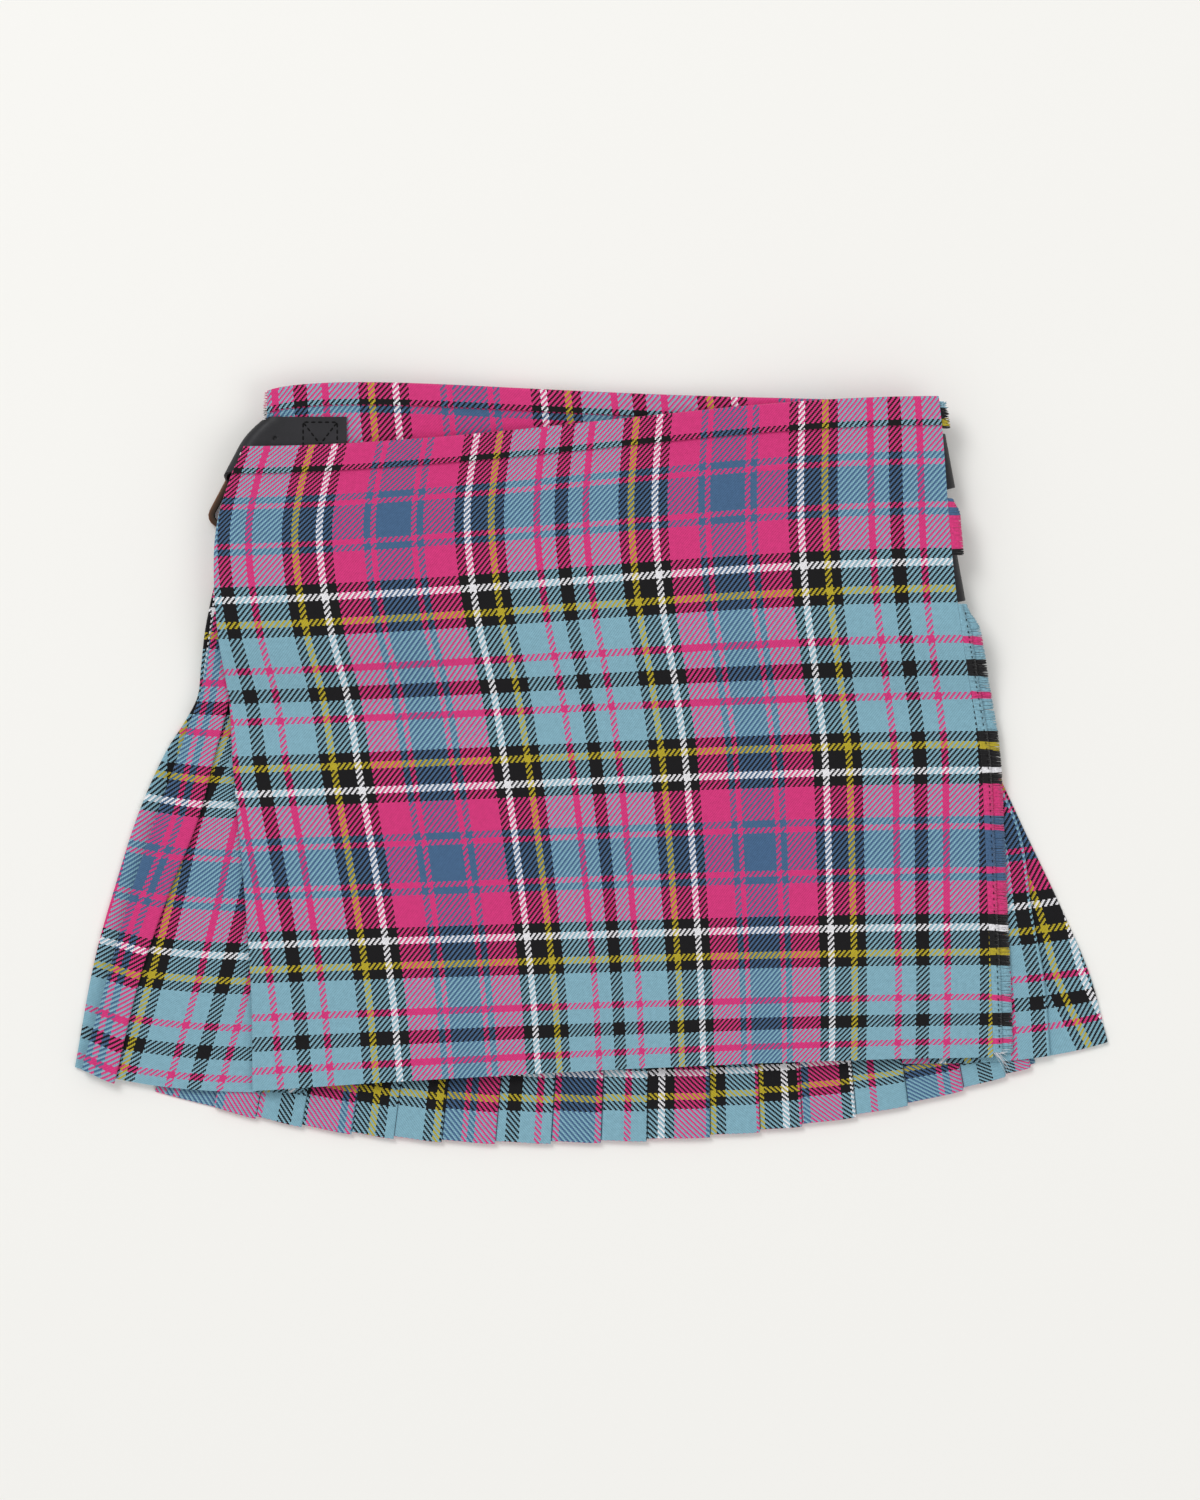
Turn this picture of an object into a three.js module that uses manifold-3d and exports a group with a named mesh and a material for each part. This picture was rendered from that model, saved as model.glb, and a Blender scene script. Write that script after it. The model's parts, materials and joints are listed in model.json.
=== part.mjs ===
// A wrap mini skirt cut like a short kilt, laid out flat on its pleated back. Millimetres.
// +X runs across the skirt, +Y from the hem to the waist, +Z up off the surface that it lies on.
// The origin is the middle of the skirt's outline, on that surface.
// From the surface up lie the pleated back, the side pleats, the under apron and the over apron.
import * as THREE from "three";
import Module from "manifold-3d";
import { mergeVertices } from "three/addons/utils/BufferGeometryUtils.js";

const wasm = await Module();
wasm.setup();

const CLOTH = 1.0; // thickness of the woollen cloth
const GAP = 0.3; // clearance between neighbouring layers
const LAYER = CLOTH + GAP; // height from one layer's middle to the next one's
const BACK_LAYERS = 3; // a knife pleat lies three deep
const BACK_TOP = (BACK_LAYERS - 1) * LAYER + CLOTH;
const TIGHT = 1e-6;

const STRAP_LEATHER = 1.6;
const STRAP_WIDTH = 28.6; // a strap of 1 1/8 inch
const HIP_LIFT = 6.1; // the cloth stands this high over the buckles at the hips
const HIP_INNER = 24; // distance from the middle where the cloth starts to rise
const HIP_OUTER = 118;
const HIP_LOW = 24; // y where it starts to rise towards the waist
const HIP_HIGH = 72;

const APRON_REST = 8.6; // height of the over apron's middle surface near the hem
const APRON_RISE = 4.8; // how much higher it lies over the waistbands
const UNDER_REST = 6.2;
const UNDER_RISE = 2.5;
const WAIST_LOW = 20; // y where the aprons start to rise over the waistbands
const WAIST_HIGH = 75;

const BAND_HEIGHT = 14.2; // the over apron's waistband
const UNDER_BAND_HEIGHT = 11.6;
const BACK_BAND_HEIGHT = 14;
const TUCKED = 2.4; // a panel's top edge ends this far below the top of its waistband
const BAND_ROOM_LOW = 152; // y where the back's pleats start to rise for their waistband's lower leaf
const BAND_ROOM_HIGH = 166;

// Cross lines of the over apron, from its top edge to its hem: where each meets the side edges,
// and how far down the cloth it lies.
const APRON_LINES = [
  { down: 0, leftX: -180, leftY: 164, rightX: 180, rightY: 190 },
  { down: 17, leftX: -187, leftY: 147, rightX: 182, rightY: 172 },
  { down: 42, leftX: -194, leftY: 123, rightX: 184, rightY: 146 },
  { down: 68, leftX: -195.5, leftY: 98, rightX: 188, rightY: 119 },
  { down: 102, leftX: -193, leftY: 64, rightX: 191, rightY: 83 },
  { down: 118, leftX: -190.5, leftY: 48.5, rightX: 193, rightY: 66 },
  { down: 135, leftX: -188, leftY: 32, rightX: 195.5, rightY: 47 },
  { down: 171, leftX: -186, leftY: -4, rightX: 202, rightY: 9 },
  { down: 213, leftX: -182, leftY: -46, rightX: 204.5, rightY: -34 },
  { down: 249, leftX: -179, leftY: -82, rightX: 206, rightY: -72 },
  { down: 291, leftX: -176.5, leftY: -124, rightX: 208, rightY: -114 },
  { down: 336, leftX: -176, leftY: -171, rightX: 209, rightY: -153.5 },
];
const APRON_COLUMNS = 22;
const APRON_EASE = 2.2; // columns crowd towards the side edges, where the cloth turns
const TOP_EDGE_EASE = 1.0; // 1 is an S-shaped edge, 0 a straight one
const HEM_CURVE = 1.5;

// Soft folds of the over apron: a ridge that stands up from the hem and dies out upwards.
const APRON_FOLDS = [
  { x: 47, lean: -0.1, width: 15, height: 2.6, top: 40 },
  { x: 24, lean: -0.1, width: 12, height: -1.1, top: 20 },
  { x: -62, lean: -0.16, width: 26, height: 1.6, top: 60 },
  { x: 128, lean: -0.06, width: 22, height: 1.5, top: 30 },
  { x: 185, lean: -0.04, width: 12, height: 1.2, top: -20 },
  { x: -150, lean: -0.12, width: 16, height: 1.2, top: 10 },
];

const UNDER_LINES = [
  { leftX: -168, leftY: 193, rightX: 176, rightY: 187.5, bow: 5.3 },
  { leftX: -168.5, leftY: 180, rightX: 176.5, rightY: 174.5, bow: 5.3 },
  { leftX: -169, leftY: 120, rightX: 177.5, rightY: 118, bow: 2.6 },
  { leftX: -169, leftY: 72, rightX: 178, rightY: 72, bow: 0 },
  { leftX: -169, leftY: 60, rightX: 180, rightY: 60, bow: 0 },
  { leftX: -168.5, leftY: 48, rightX: 182, rightY: 48, bow: 0 },
  { leftX: -168, leftY: 36, rightX: 184, rightY: 36, bow: 0 },
  { leftX: -168, leftY: 22, rightX: 186, rightY: 22, bow: 0 },
  { leftX: -167, leftY: -60, rightX: 189, rightY: -58, bow: 0 },
  { leftX: -166, leftY: -150, rightX: 192, rightY: -146, bow: 0 },
];
const UNDER_COLUMNS = 16;

// Widths of the knife pleats at the hem, from left to right, as their fold edges lie.
const PLEATS_AT_HEM = [22, 24, 26, 22, 25, 28, 29, 26, 24, 33, 26, 22, 28, 27, 29, 22, 13];
const PLEAT_MARGIN = 30; // the flat stretch of the back left of its first fold edge, at the hem
const BACK_WAIST_Y = 185;
const BACK_BAND_ROOM = BACK_TOP + 2.6 * GAP;
const BACK_WAIST_HALF = 168;
const BACK_HEM_Y = -197.5;
const HEM_LOWEST_X = -45;
const HEM_RISE_LEFT = { reach: 139, rise: 15, power: 2 };
const HEM_RISE_RIGHT = { reach: 176, rise: 12.6, power: 2.6 };
const HEM_STEP = 1.4; // each pleat's fold edge hangs this much lower than the next one's start

// Sections across the left side pleats. y is the height at the recess beside the over apron's edge, and
// rise is how much higher the outer edge lies. The x columns follow the cloth from the recess outwards:
// it is tucked back under its own front pleat, and is rolled round the side to join the back.
const LEFT_SIDE = [
  { y: 150, rise: 0, recess: -150, tuck: -173, front: -166, roll: -176, join: -158, outer: -178 },
  { y: 110, rise: 0, recess: -150, tuck: -186, front: -178, roll: -189, join: -166, outer: -191 },
  { y: 72, rise: 0, recess: -150, tuck: -193, front: -183, roll: -196.5, join: -173, outer: -200 },
  { y: 60, rise: 0, recess: -150, tuck: -195, front: -184.5, roll: -198, join: -175, outer: -201.5 },
  { y: 48, rise: 0, recess: -150, tuck: -197.5, front: -186.5, roll: -200.5, join: -177, outer: -203 },
  { y: 34, rise: 0, recess: -150, tuck: -200, front: -188.5, roll: -203.5, join: -179.5, outer: -204.8 },
  { y: 20, rise: 1, recess: -150, tuck: -204, front: -192, roll: -208.5, join: -182, outer: -211.5 },
  { y: 3, rise: 3, recess: -150, tuck: -209.5, front: -196.5, roll: -214, join: -186, outer: -221 },
  { y: -30, rise: 5, recess: -150, tuck: -221, front: -205, roll: -225.5, join: -194, outer: -235 },
  { y: -69, rise: 7, recess: -150, tuck: -233, front: -220, roll: -238, join: -203, outer: -247 },
  { y: -110, rise: 9, recess: -150, tuck: -245, front: -234, roll: -249, join: -213, outer: -258 },
  { y: -172, rise: 13, recess: -150, tuck: -261, front: -248.8, roll: -265, join: -228, outer: -268.8 },
];

// Sections across the right side pleats, from under the aprons outwards.
const RIGHT_SIDE = [
  { y: 150, rise: 0, recess: 140, front: 173, join: 158, outer: 174 },
  { y: 110, rise: 0, recess: 140, front: 175, join: 163, outer: 176.5 },
  { y: 72, rise: 0, recess: 142, front: 178, join: 167.5, outer: 180.5 },
  { y: 60, rise: 0, recess: 143, front: 180.5, join: 169.5, outer: 183.5 },
  { y: 48, rise: 0, recess: 145, front: 184, join: 173, outer: 187 },
  { y: 34, rise: 0, recess: 146, front: 189, join: 178, outer: 192.5 },
  { y: 18, rise: 1, recess: 148, front: 196, join: 184, outer: 200 },
  { y: 0, rise: 2, recess: 150, front: 205, join: 191, outer: 208 },
  { y: -36, rise: 3, recess: 155, front: 222, join: 202, outer: 224 },
  { y: -80, rise: 5, recess: 158, front: 229, join: 214, outer: 244 },
  { y: -116, rise: 6, recess: 160, front: 235.4, join: 222, outer: 259 },
  { y: -157, rise: 11, recess: 162, front: 238.5, join: 232, outer: 268.8 },
];
const RISE_POWER = 3; // the side pleats' hems curve up towards their outer edge

const ORIGIN = new THREE.Vector2();
const smooth = (value) => {
  const t = Math.min(1, Math.max(0, value));
  return t * t * (3 - 2 * t);
};
const mix = (a, b, t) => a + (b - a) * t;

// How far the cloth is raised off the surface by the buckles under the hips.
function lift(x, y) {
  const side = smooth((Math.abs(x) - HIP_INNER) / (HIP_OUTER - HIP_INNER));
  return HIP_LIFT * side * smooth((y - HIP_LOW) / (HIP_HIGH - HIP_LOW));
}

function foldHeight(x, y) {
  return APRON_FOLDS.reduce((sum, fold) => {
    const away = (x - fold.x - fold.lean * (y + 160)) / fold.width;
    return sum + fold.height * Math.exp(-away * away) * smooth((fold.top - y) / (fold.top + 160));
  }, 0);
}

const bandRoom = (y) => LAYER * smooth((y - BAND_ROOM_LOW) / (BAND_ROOM_HIGH - BAND_ROOM_LOW));
const overWaist = (y) => smooth((y - WAIST_LOW) / (WAIST_HIGH - WAIST_LOW));
const underHeight = (x, y) => UNDER_REST + UNDER_RISE * overWaist(y) + lift(x, y);

// The over apron's middle surface. It turns down at its left edge, where it goes round the hip, but not
// where it crosses the fold of the side pleat, nor over the strap.
function apronHeight(x, y, edgeX) {
  const turn = smooth(1 - (x - edgeX) / 16) ** 2;
  const atHem = 1.3 * smooth((14 - y) / 30);
  const atHip = 3.0 * smooth((y - 62) / 34) * smooth((142 - y) / 22);
  const drop = turn * (atHem + atHip);
  return APRON_REST + APRON_RISE * overWaist(y) + lift(x, y) + foldHeight(x, y) - drop;
}

function hemY(x) {
  const side = x < HEM_LOWEST_X ? HEM_RISE_LEFT : HEM_RISE_RIGHT;
  return BACK_HEM_Y + side.rise * (Math.abs(x - HEM_LOWEST_X) / side.reach) ** side.power;
}

// A value of a table's column at a place in another, rising or falling, column.
function lookUp(table, key, at, column) {
  const rising = table[1][key] > table[0][key];
  const after = table.findIndex((row) => (rising ? row[key] > at : row[key] < at));
  const index = after === -1 ? table.length - 1 : Math.max(1, after);
  const [low, high] = [table[index - 1], table[index]];
  return mix(low[column], high[column], (at - low[key]) / (high[key] - low[key]));
}

function geometryOf(positions, triangles) {
  const geometry = new THREE.BufferGeometry();
  geometry.setAttribute("position", new THREE.Float32BufferAttribute(positions.flat(), 3));
  geometry.setIndex(triangles.flat());
  const point = (i) => new THREE.Vector3(...positions[i]);
  const volume = triangles.reduce((sum, [a, b, c]) => sum + point(a).dot(point(b).cross(point(c))), 0);
  if (volume < 0) geometry.setIndex(triangles.map(([a, b, c]) => [a, c, b]).flat());
  return geometry;
}

// Offsets a section's points, {x, y, z}, square to its line in the XZ plane, with mitred corners.
function offsetSection(points, distance) {
  const normals = points.slice(1).map((p, i) => {
    const [dx, dz] = [p.x - points[i].x, p.z - points[i].z];
    const length = Math.hypot(dx, dz);
    return { x: -dz / length, z: dx / length };
  });
  return points.map((p, i) => {
    const before = normals[Math.max(0, i - 1)];
    const after = normals[Math.min(normals.length - 1, i)];
    const share = 1 + before.x * after.x + before.z * after.z;
    const scale = distance / Math.max(share, TIGHT);
    return [p.x + (before.x + after.x) * scale, p.y, p.z + (before.z + after.z) * scale];
  });
}

// A closed solid between two sheets, each a list of rows with the same number of points.
function between(upper, lower) {
  const [rows, columns] = [upper.length, upper[0].length];
  const positions = [...upper.flat(), ...lower.flat()];
  const at = (face, row, column) => (face * rows + row) * columns + column;
  const triangles = [];
  const quad = (a, b, c, d) => triangles.push([a, b, c], [a, c, d]);
  for (let row = 0; row + 1 < rows; row++) {
    for (let column = 0; column + 1 < columns; column++) {
      const [next, down] = [column + 1, row + 1];
      quad(at(0, row, column), at(0, row, next), at(0, down, next), at(0, down, column));
      quad(at(1, row, column), at(1, down, column), at(1, down, next), at(1, row, next));
    }
    for (const [column, turn] of [[0, false], [columns - 1, true]]) {
      const ring = [at(0, row, column), at(0, row + 1, column), at(1, row + 1, column), at(1, row, column)];
      quad(...(turn ? ring.reverse() : ring));
    }
  }
  for (const [row, turn] of [[0, true], [rows - 1, false]]) {
    for (let column = 0; column + 1 < columns; column++) {
      const ring = [at(0, row, column), at(0, row, column + 1), at(1, row, column + 1), at(1, row, column)];
      quad(...(turn ? ring.reverse() : ring));
    }
  }
  return geometryOf(positions, triangles);
}

// A cloth wall through a list of sections, each a list of the same number of points.
function wall(sections, thickness = CLOTH) {
  const face = (side) => sections.map((row) => offsetSection(row, (side * thickness) / 2));
  return between(face(1), face(-1));
}

// Shares from 0 to 1 that crowd towards both ends.
function crowded(count, ease) {
  return Array.from({ length: count + 1 }, (_, i) => {
    const t = i / count;
    const away = Math.abs(2 * t - 1);
    return 0.5 + 0.5 * Math.sign(2 * t - 1) * (1 - (1 - away) ** ease);
  });
}

// A point of the over apron: s runs from its left edge to its right, down is the distance from the top edge.
function apronPoint(s, down) {
  const side = (column) => lookUp(APRON_LINES, "down", down, column);
  const depth = down / APRON_LINES.at(-1).down;
  const sCurve = mix(s, smooth(s), TOP_EDGE_EASE);
  const hemCurve = 1 - (1 - s) ** HEM_CURVE;
  const x = mix(side("leftX"), side("rightX"), s);
  const y = mix(side("leftY"), side("rightY"), mix(sCurve, hemCurve, depth));
  return { x, y, z: apronHeight(x, y, side("leftX")) };
}

function overApron() {
  const shares = crowded(APRON_COLUMNS, APRON_EASE);
  const downs = APRON_LINES.map((line) => (line.down === 0 ? TUCKED : line.down));
  return wall(downs.map((down) => shares.map((s) => apronPoint(s, down))));
}

function underPoint(s, line, lower = 0) {
  const bow = line.bow * Math.sin(Math.PI * s ** 0.4) ** 2;
  const x = mix(line.leftX, line.rightX, s);
  const y = mix(line.leftY, line.rightY, s) + bow - lower;
  return { x, y, z: underHeight(x, y) };
}

function underApron() {
  const shares = Array.from({ length: UNDER_COLUMNS + 1 }, (_, i) => i / UNDER_COLUMNS);
  return wall(UNDER_LINES.map((line, row) => shares.map((s) => underPoint(s, line, row ? 0 : TUCKED))));
}

// A point across a side pleat's section, at an x and on a layer counted from the surface.
function sidePoint(row, x, layer) {
  const share = Math.abs(x - row.recess) / Math.abs(row.outer - row.recess);
  const y = row.y + row.rise * share ** RISE_POWER;
  return { x, y, z: CLOTH / 2 + layer * LAYER + lift(x, y) };
}

const sideSheet = (table, route) =>
  wall(table.map((row) => route(row).map(([x, layer]) => sidePoint(row, x, layer))));

const leftSidePleats = () =>
  sideSheet(LEFT_SIDE, ({ recess, tuck, front, roll, join, outer }) => [
    [recess, 3],
    [tuck, 3],
    [tuck, 4],
    [front, 4],
    [front, 5],
    [roll, 5],
    [roll, 2],
    [join - LAYER, 2],
    [join - LAYER, 1],
    [outer, 1],
    [outer, 0],
    [join, 0],
  ]);

const rightSidePleats = () =>
  sideSheet(RIGHT_SIDE, ({ recess, front, join, outer }) => [
    [recess, 3],
    [front, 3],
    [front, 2],
    [join + LAYER, 2],
    [join + LAYER, 1],
    [outer, 1],
    [outer, 0],
    [join, 0],
  ]);

// The ends of a section of the pleated back above the side pleats.
const waistEnds = (y) => ({ left: -BACK_WAIST_HALF, right: BACK_WAIST_HALF, leftY: y, rightY: y, share: 0 });

// The ends of the pleated back's sections, where it meets the side pleats. They start at the waist.
const backEnds = [
  waistEnds(BACK_WAIST_Y - TUCKED),
  waistEnds(BAND_ROOM_HIGH),
  ...LEFT_SIDE.map((leftRow, i) => {
    const left = sidePoint(leftRow, leftRow.join, 0);
    const right = sidePoint(RIGHT_SIDE[i], RIGHT_SIDE[i].join, 0);
    const share = (BACK_WAIST_Y - leftRow.y) / (BACK_WAIST_Y - LEFT_SIDE.at(-1).y);
    const seam = 1.5 * GAP;
    return { left: left.x + seam, right: right.x - seam, leftY: left.y, rightY: right.y, share };
  }),
];

// The height of the back's cloth at an x: a straight line between the ends, that hangs down to the hem.
function backY(x, ends) {
  const across = (row) => (x - row.left) / (row.right - row.left);
  const hem = backEnds.at(-1);
  const sag = mix(hem.leftY, hem.rightY, across(hem)) - hemY(x);
  return mix(ends.leftY, ends.rightY, across(ends)) - sag * ends.share ** 2;
}

// One section across the pleated back. It runs from right to left, three layers deep at each pleat.
function backSection(ends) {
  const hem = backEnds.at(-1);
  const hemWidth = hem.right - hem.left;
  const widths = [0, PLEAT_MARGIN, ...PLEATS_AT_HEM];
  let along = 0;
  const edges = widths.map((width) => {
    along += width;
    return mix(ends.left, ends.right, along / hemWidth);
  });
  const across = (x, layer, lower = 0) => {
    const end = x < ends.left + TIGHT ? ends.leftY : ends.rightY;
    const atEnd = x < ends.left + TIGHT || x > ends.right - TIGHT;
    const y = (atEnd ? end : backY(x, ends)) - lower * ends.share ** 4;
    return { x, y, z: CLOTH / 2 + layer * LAYER + lift(x, y) + bandRoom(y) };
  };
  const points = [across(ends.right, 0)];
  for (let i = edges.length - 1; i >= 2; i--) {
    const inner = edges[i - 1] + LAYER;
    const next = inner + LAYER;
    points.push(across(next, 0), across(next, 1), across(edges[i], 1));
    points.push(across(edges[i], 2, HEM_STEP), across(inner, 2), across(inner, 0));
  }
  points.push(across(ends.left, 0));
  return points;
}

const backPleats = () => wall(backEnds.map(backSection));

// A waistband: cloth folded over a panel's top edge, so it is an upside-down U in section, open below.
// Each column of it follows the panel: a column is a function of the distance down from the top edge,
// and inner is the room between the band's two leaves.
function waistband(columns, height, inner) {
  const outer = inner + 2 * CLOTH;
  const roundSteps = 4;
  const round = (half, top) =>
    Array.from({ length: roundSteps + 1 }, (_, i) => {
      const angle = (Math.PI * i) / roundSteps;
      return [top + Math.min(half, CLOTH) * (1 - Math.sin(angle)), half * Math.cos(angle)];
    });
  const outside = [[height, outer / 2], ...round(outer / 2, 0), [height, -outer / 2]];
  const inside = [[height, -inner / 2], ...round(inner / 2, CLOTH).reverse(), [height, inner / 2]];
  const profile = [...outside, ...inside];
  const positions = columns.flatMap((column) =>
    profile.map(([down, out]) => {
      const { x, y, z } = column(down);
      return [x, y, z + out];
    }),
  );
  const size = profile.length;
  const triangles = [];
  for (let i = 0; i + 1 < columns.length; i++) {
    for (let k = 0; k < size; k++) {
      const [a, b] = [i * size + k, i * size + ((k + 1) % size)];
      triangles.push([a, b, b + size], [a, b + size, a + size]);
    }
  }
  const flat = profile.map(([down, out]) => new THREE.Vector2(down, out));
  const clockwise = THREE.ShapeUtils.isClockWise(flat);
  const last = (columns.length - 1) * size;
  for (const [a, b, c] of THREE.ShapeUtils.triangulateShape(flat, [])) {
    const sameWay = THREE.ShapeUtils.isClockWise([flat[a], flat[b], flat[c]]) === clockwise;
    const face = sameWay ? [a, b, c] : [a, c, b];
    triangles.push([face[0], face[2], face[1]], face.map((k) => k + last));
  }
  return geometryOf(positions, triangles);
}

function apronWaistband() {
  const columns = crowded(APRON_COLUMNS, APRON_EASE).map((s) => (down) => apronPoint(s, down));
  return waistband(columns, BAND_HEIGHT, CLOTH + 2 * GAP);
}

function underWaistband() {
  const columns = Array.from({ length: UNDER_COLUMNS + 1 }, (_, i) => (down) =>
    underPoint(i / UNDER_COLUMNS, UNDER_LINES[0], down),
  );
  return waistband(columns, UNDER_BAND_HEIGHT, CLOTH + 2 * GAP);
}

function backWaistband() {
  const steps = 24;
  const columns = Array.from({ length: steps + 1 }, (_, i) => (down) => {
    const x = mix(-BACK_WAIST_HALF - GAP, BACK_WAIST_HALF + GAP, i / steps);
    const z = lift(x, BACK_WAIST_Y) + BACK_BAND_ROOM / 2 + CLOTH;
    return { x, y: BACK_WAIST_Y - down, z };
  });
  return waistband(columns, BACK_BAND_HEIGHT, BACK_BAND_ROOM);
}

const asManifold = (geometry) => {
  const bare = geometry.clone();
  bare.deleteAttribute("normal");
  bare.deleteAttribute("uv");
  const merged = mergeVertices(bare, 1e-4);
  return new wasm.Manifold(
    new wasm.Mesh({
      numProp: 3,
      vertProperties: merged.attributes.position.array,
      triVerts: new Uint32Array(merged.index.array),
    }),
  );
};

const asGeometry = (solid) => {
  const mesh = solid.getMesh();
  const geometry = new THREE.BufferGeometry();
  geometry.setAttribute("position", new THREE.BufferAttribute(mesh.vertProperties, 3));
  geometry.setIndex(new THREE.BufferAttribute(mesh.triVerts, 1));
  return geometry;
};

// One lock of the fringe: a four-sided, tapered length of yarn from a root, out and slightly down.
function lock(root, reach, droop, width) {
  const lean = new THREE.Vector3(reach, -0.1 * reach, -droop);
  const ends = [
    { at: root, half: width / 2, thick: 0.36 },
    { at: root.clone().add(lean), half: width * 0.32, thick: 0.24 },
  ];
  const positions = ends.flatMap(({ at, half, thick }) =>
    [[-1, -1], [1, -1], [1, 1], [-1, 1]].map(([v, w]) => [at.x, at.y + v * half, at.z + w * thick]),
  );
  const triangles = [[0, 2, 1], [0, 3, 2], [4, 5, 6], [4, 6, 7]];
  for (let k = 0; k < 4; k++) {
    const next = (k + 1) % 4;
    triangles.push([k, next, next + 4], [k, next + 4, k + 4]);
  }
  return geometryOf(positions, triangles);
}

// A point of the over apron's right edge, on the straight line between two of its cross lines.
function rightEdge(down) {
  const index = Math.max(1, APRON_LINES.findIndex((line) => line.down > down));
  const [low, high] = [APRON_LINES[index - 1].down, APRON_LINES[index].down];
  const ends = [low, high].map((at) => new THREE.Vector3(...Object.values(apronPoint(1, at))));
  return ends[0].lerp(ends[1], (down - low) / (high - low));
}

// A row of locks on a narrow strip beside the over apron's right edge.
function fringe({ from, to, reach, drop = 0 }) {
  const pitch = 2.2;
  const stripWidth = 2.2;
  const places = Math.round((to - from) / pitch);
  const downs = Array.from({ length: places + 1 }, (_, i) => mix(from, to, i / places));
  const edge = (down) => rightEdge(down).add(new THREE.Vector3(GAP, 0, -drop));
  const [first, last] = [from - pitch / 2, to + pitch / 2];
  const lines = APRON_LINES.map((line) => line.down).filter((down) => down > first && down < last);
  const strip = wall(
    [first, ...lines, last].map((down) => {
      const start = edge(down);
      return [0, stripWidth].map((out) => ({ x: start.x + out, y: start.y, z: start.z }));
    }),
  );
  const locks = downs.map((down) => {
    const root = edge(down).add(new THREE.Vector3(stripWidth - 0.6, 0, 0));
    return asManifold(lock(root, reach, reach * 0.14, pitch * 0.72));
  });
  return asGeometry(wasm.Manifold.union([asManifold(strip), ...locks]));
}

// A strap that lies on the front, folds round the skirt's side and lies on under the back. heading is its
// direction on the front. It folds where it crosses a line through foldAt, and out is the direction square
// to that line. upper and lower are the heights of its middle above and below the cloth.
function foldedStrap({ heading, out, foldAt, front, tail, upper, lower }) {
  const radius = (upper - lower) / 2;
  const unit = (degrees) => new THREE.Vector2(1, 0).rotateAround(ORIGIN, THREE.MathUtils.degToRad(degrees));
  const [along, outward] = [unit(heading), unit(out)];
  const across = new THREE.Vector2(-along.y, along.x);
  const fold = new THREE.Vector2(...foldAt);
  const lengthAt = (past, side) => (past - side * across.dot(outward)) / along.dot(outward);
  const flatPoint = (length, side) =>
    fold.clone().addScaledVector(along, length).addScaledVector(across, side);
  const steps = 8;
  const pasts = Array.from({ length: steps + 1 }, (_, i) => (Math.PI * radius * i) / steps);
  const lengths = [
    () => -front,
    ...pasts.map((past) => (side) => lengthAt(past, side)),
    () => lengthAt(Math.PI * radius, 0) + tail,
  ];
  const placed = (flat, face) => {
    const past = flat.clone().sub(fold).dot(outward);
    const angle = Math.min(Math.PI, Math.max(0, past / radius));
    const beyond = past < 0 ? past : Math.min(0, Math.PI * radius - past);
    const reach = (radius + face) * Math.sin(angle) + beyond;
    const foot = flat.clone().addScaledVector(outward, reach - past);
    return [foot.x, foot.y, lower + radius + (radius + face) * Math.cos(angle)];
  };
  const sheet = (face) =>
    lengths.map((length) =>
      [-1, 1].map((side) => {
        const offset = (side * STRAP_WIDTH) / 2;
        return placed(flatPoint(length(offset), offset), face);
      }),
    );
  return between(sheet(STRAP_LEATHER / 2), sheet(-STRAP_LEATHER / 2));
}

const UNDER_CLOTH = HIP_LIFT - GAP; // the top of what lies below the raised cloth at the hips
const STRAP_BELOW = UNDER_CLOTH - STRAP_LEATHER / 2;
const STRAP_ABOVE = 17.7; // the right straps' run between the aprons
const INNER_STRAP_ABOVE = 16.4; // the left strap's run on the under apron
const FRAME_BAR = 2.0; // thickness of a buckle's frame
const FRAME_Z = UNDER_CLOTH - STRAP_LEATHER - GAP - FRAME_BAR;
const TAB_LEATHER = 1.4;
const FRAME_HALF = { x: 12.5, y: 17.5 };
const INNER_BAR = 2.0; // width of the bar that the tab and the prong go round
const INNER_BAR_X = INNER_BAR / 2 - FRAME_HALF.x;

// A buckle's frame: a flat bar bent to a rectangle with cut corners, and lightly rounded edges.
// It lies in XY about the origin, with its outer bar towards +X.
function buckleFrame() {
  const bar = 3.4;
  const cut = 4.5;
  const round = 0.4;
  const outline = (left, right, half, corner) => [
    [right, half - corner],
    [right - corner, half],
    [left + corner, half],
    [left, half - corner],
    [left, corner - half],
    [left + corner, -half],
    [right - corner, -half],
    [right, corner - half],
  ];
  const { x, y } = FRAME_HALF;
  const outer = outline(round - x, x - round, y - round, cut);
  const hole = outline(INNER_BAR - round - x, x - bar + round, y - bar + round, 2.5);
  const shape = new THREE.Shape(outer.map((p) => new THREE.Vector2(...p)));
  shape.holes.push(new THREE.Path(hole.map((p) => new THREE.Vector2(...p))));
  const solid = new THREE.ExtrudeGeometry(shape, {
    depth: FRAME_BAR - 2 * round,
    bevelThickness: round,
    bevelSize: round,
    bevelSegments: 2,
    steps: 1,
  });
  solid.translate(0, 0, round);
  return solid;
}

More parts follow.
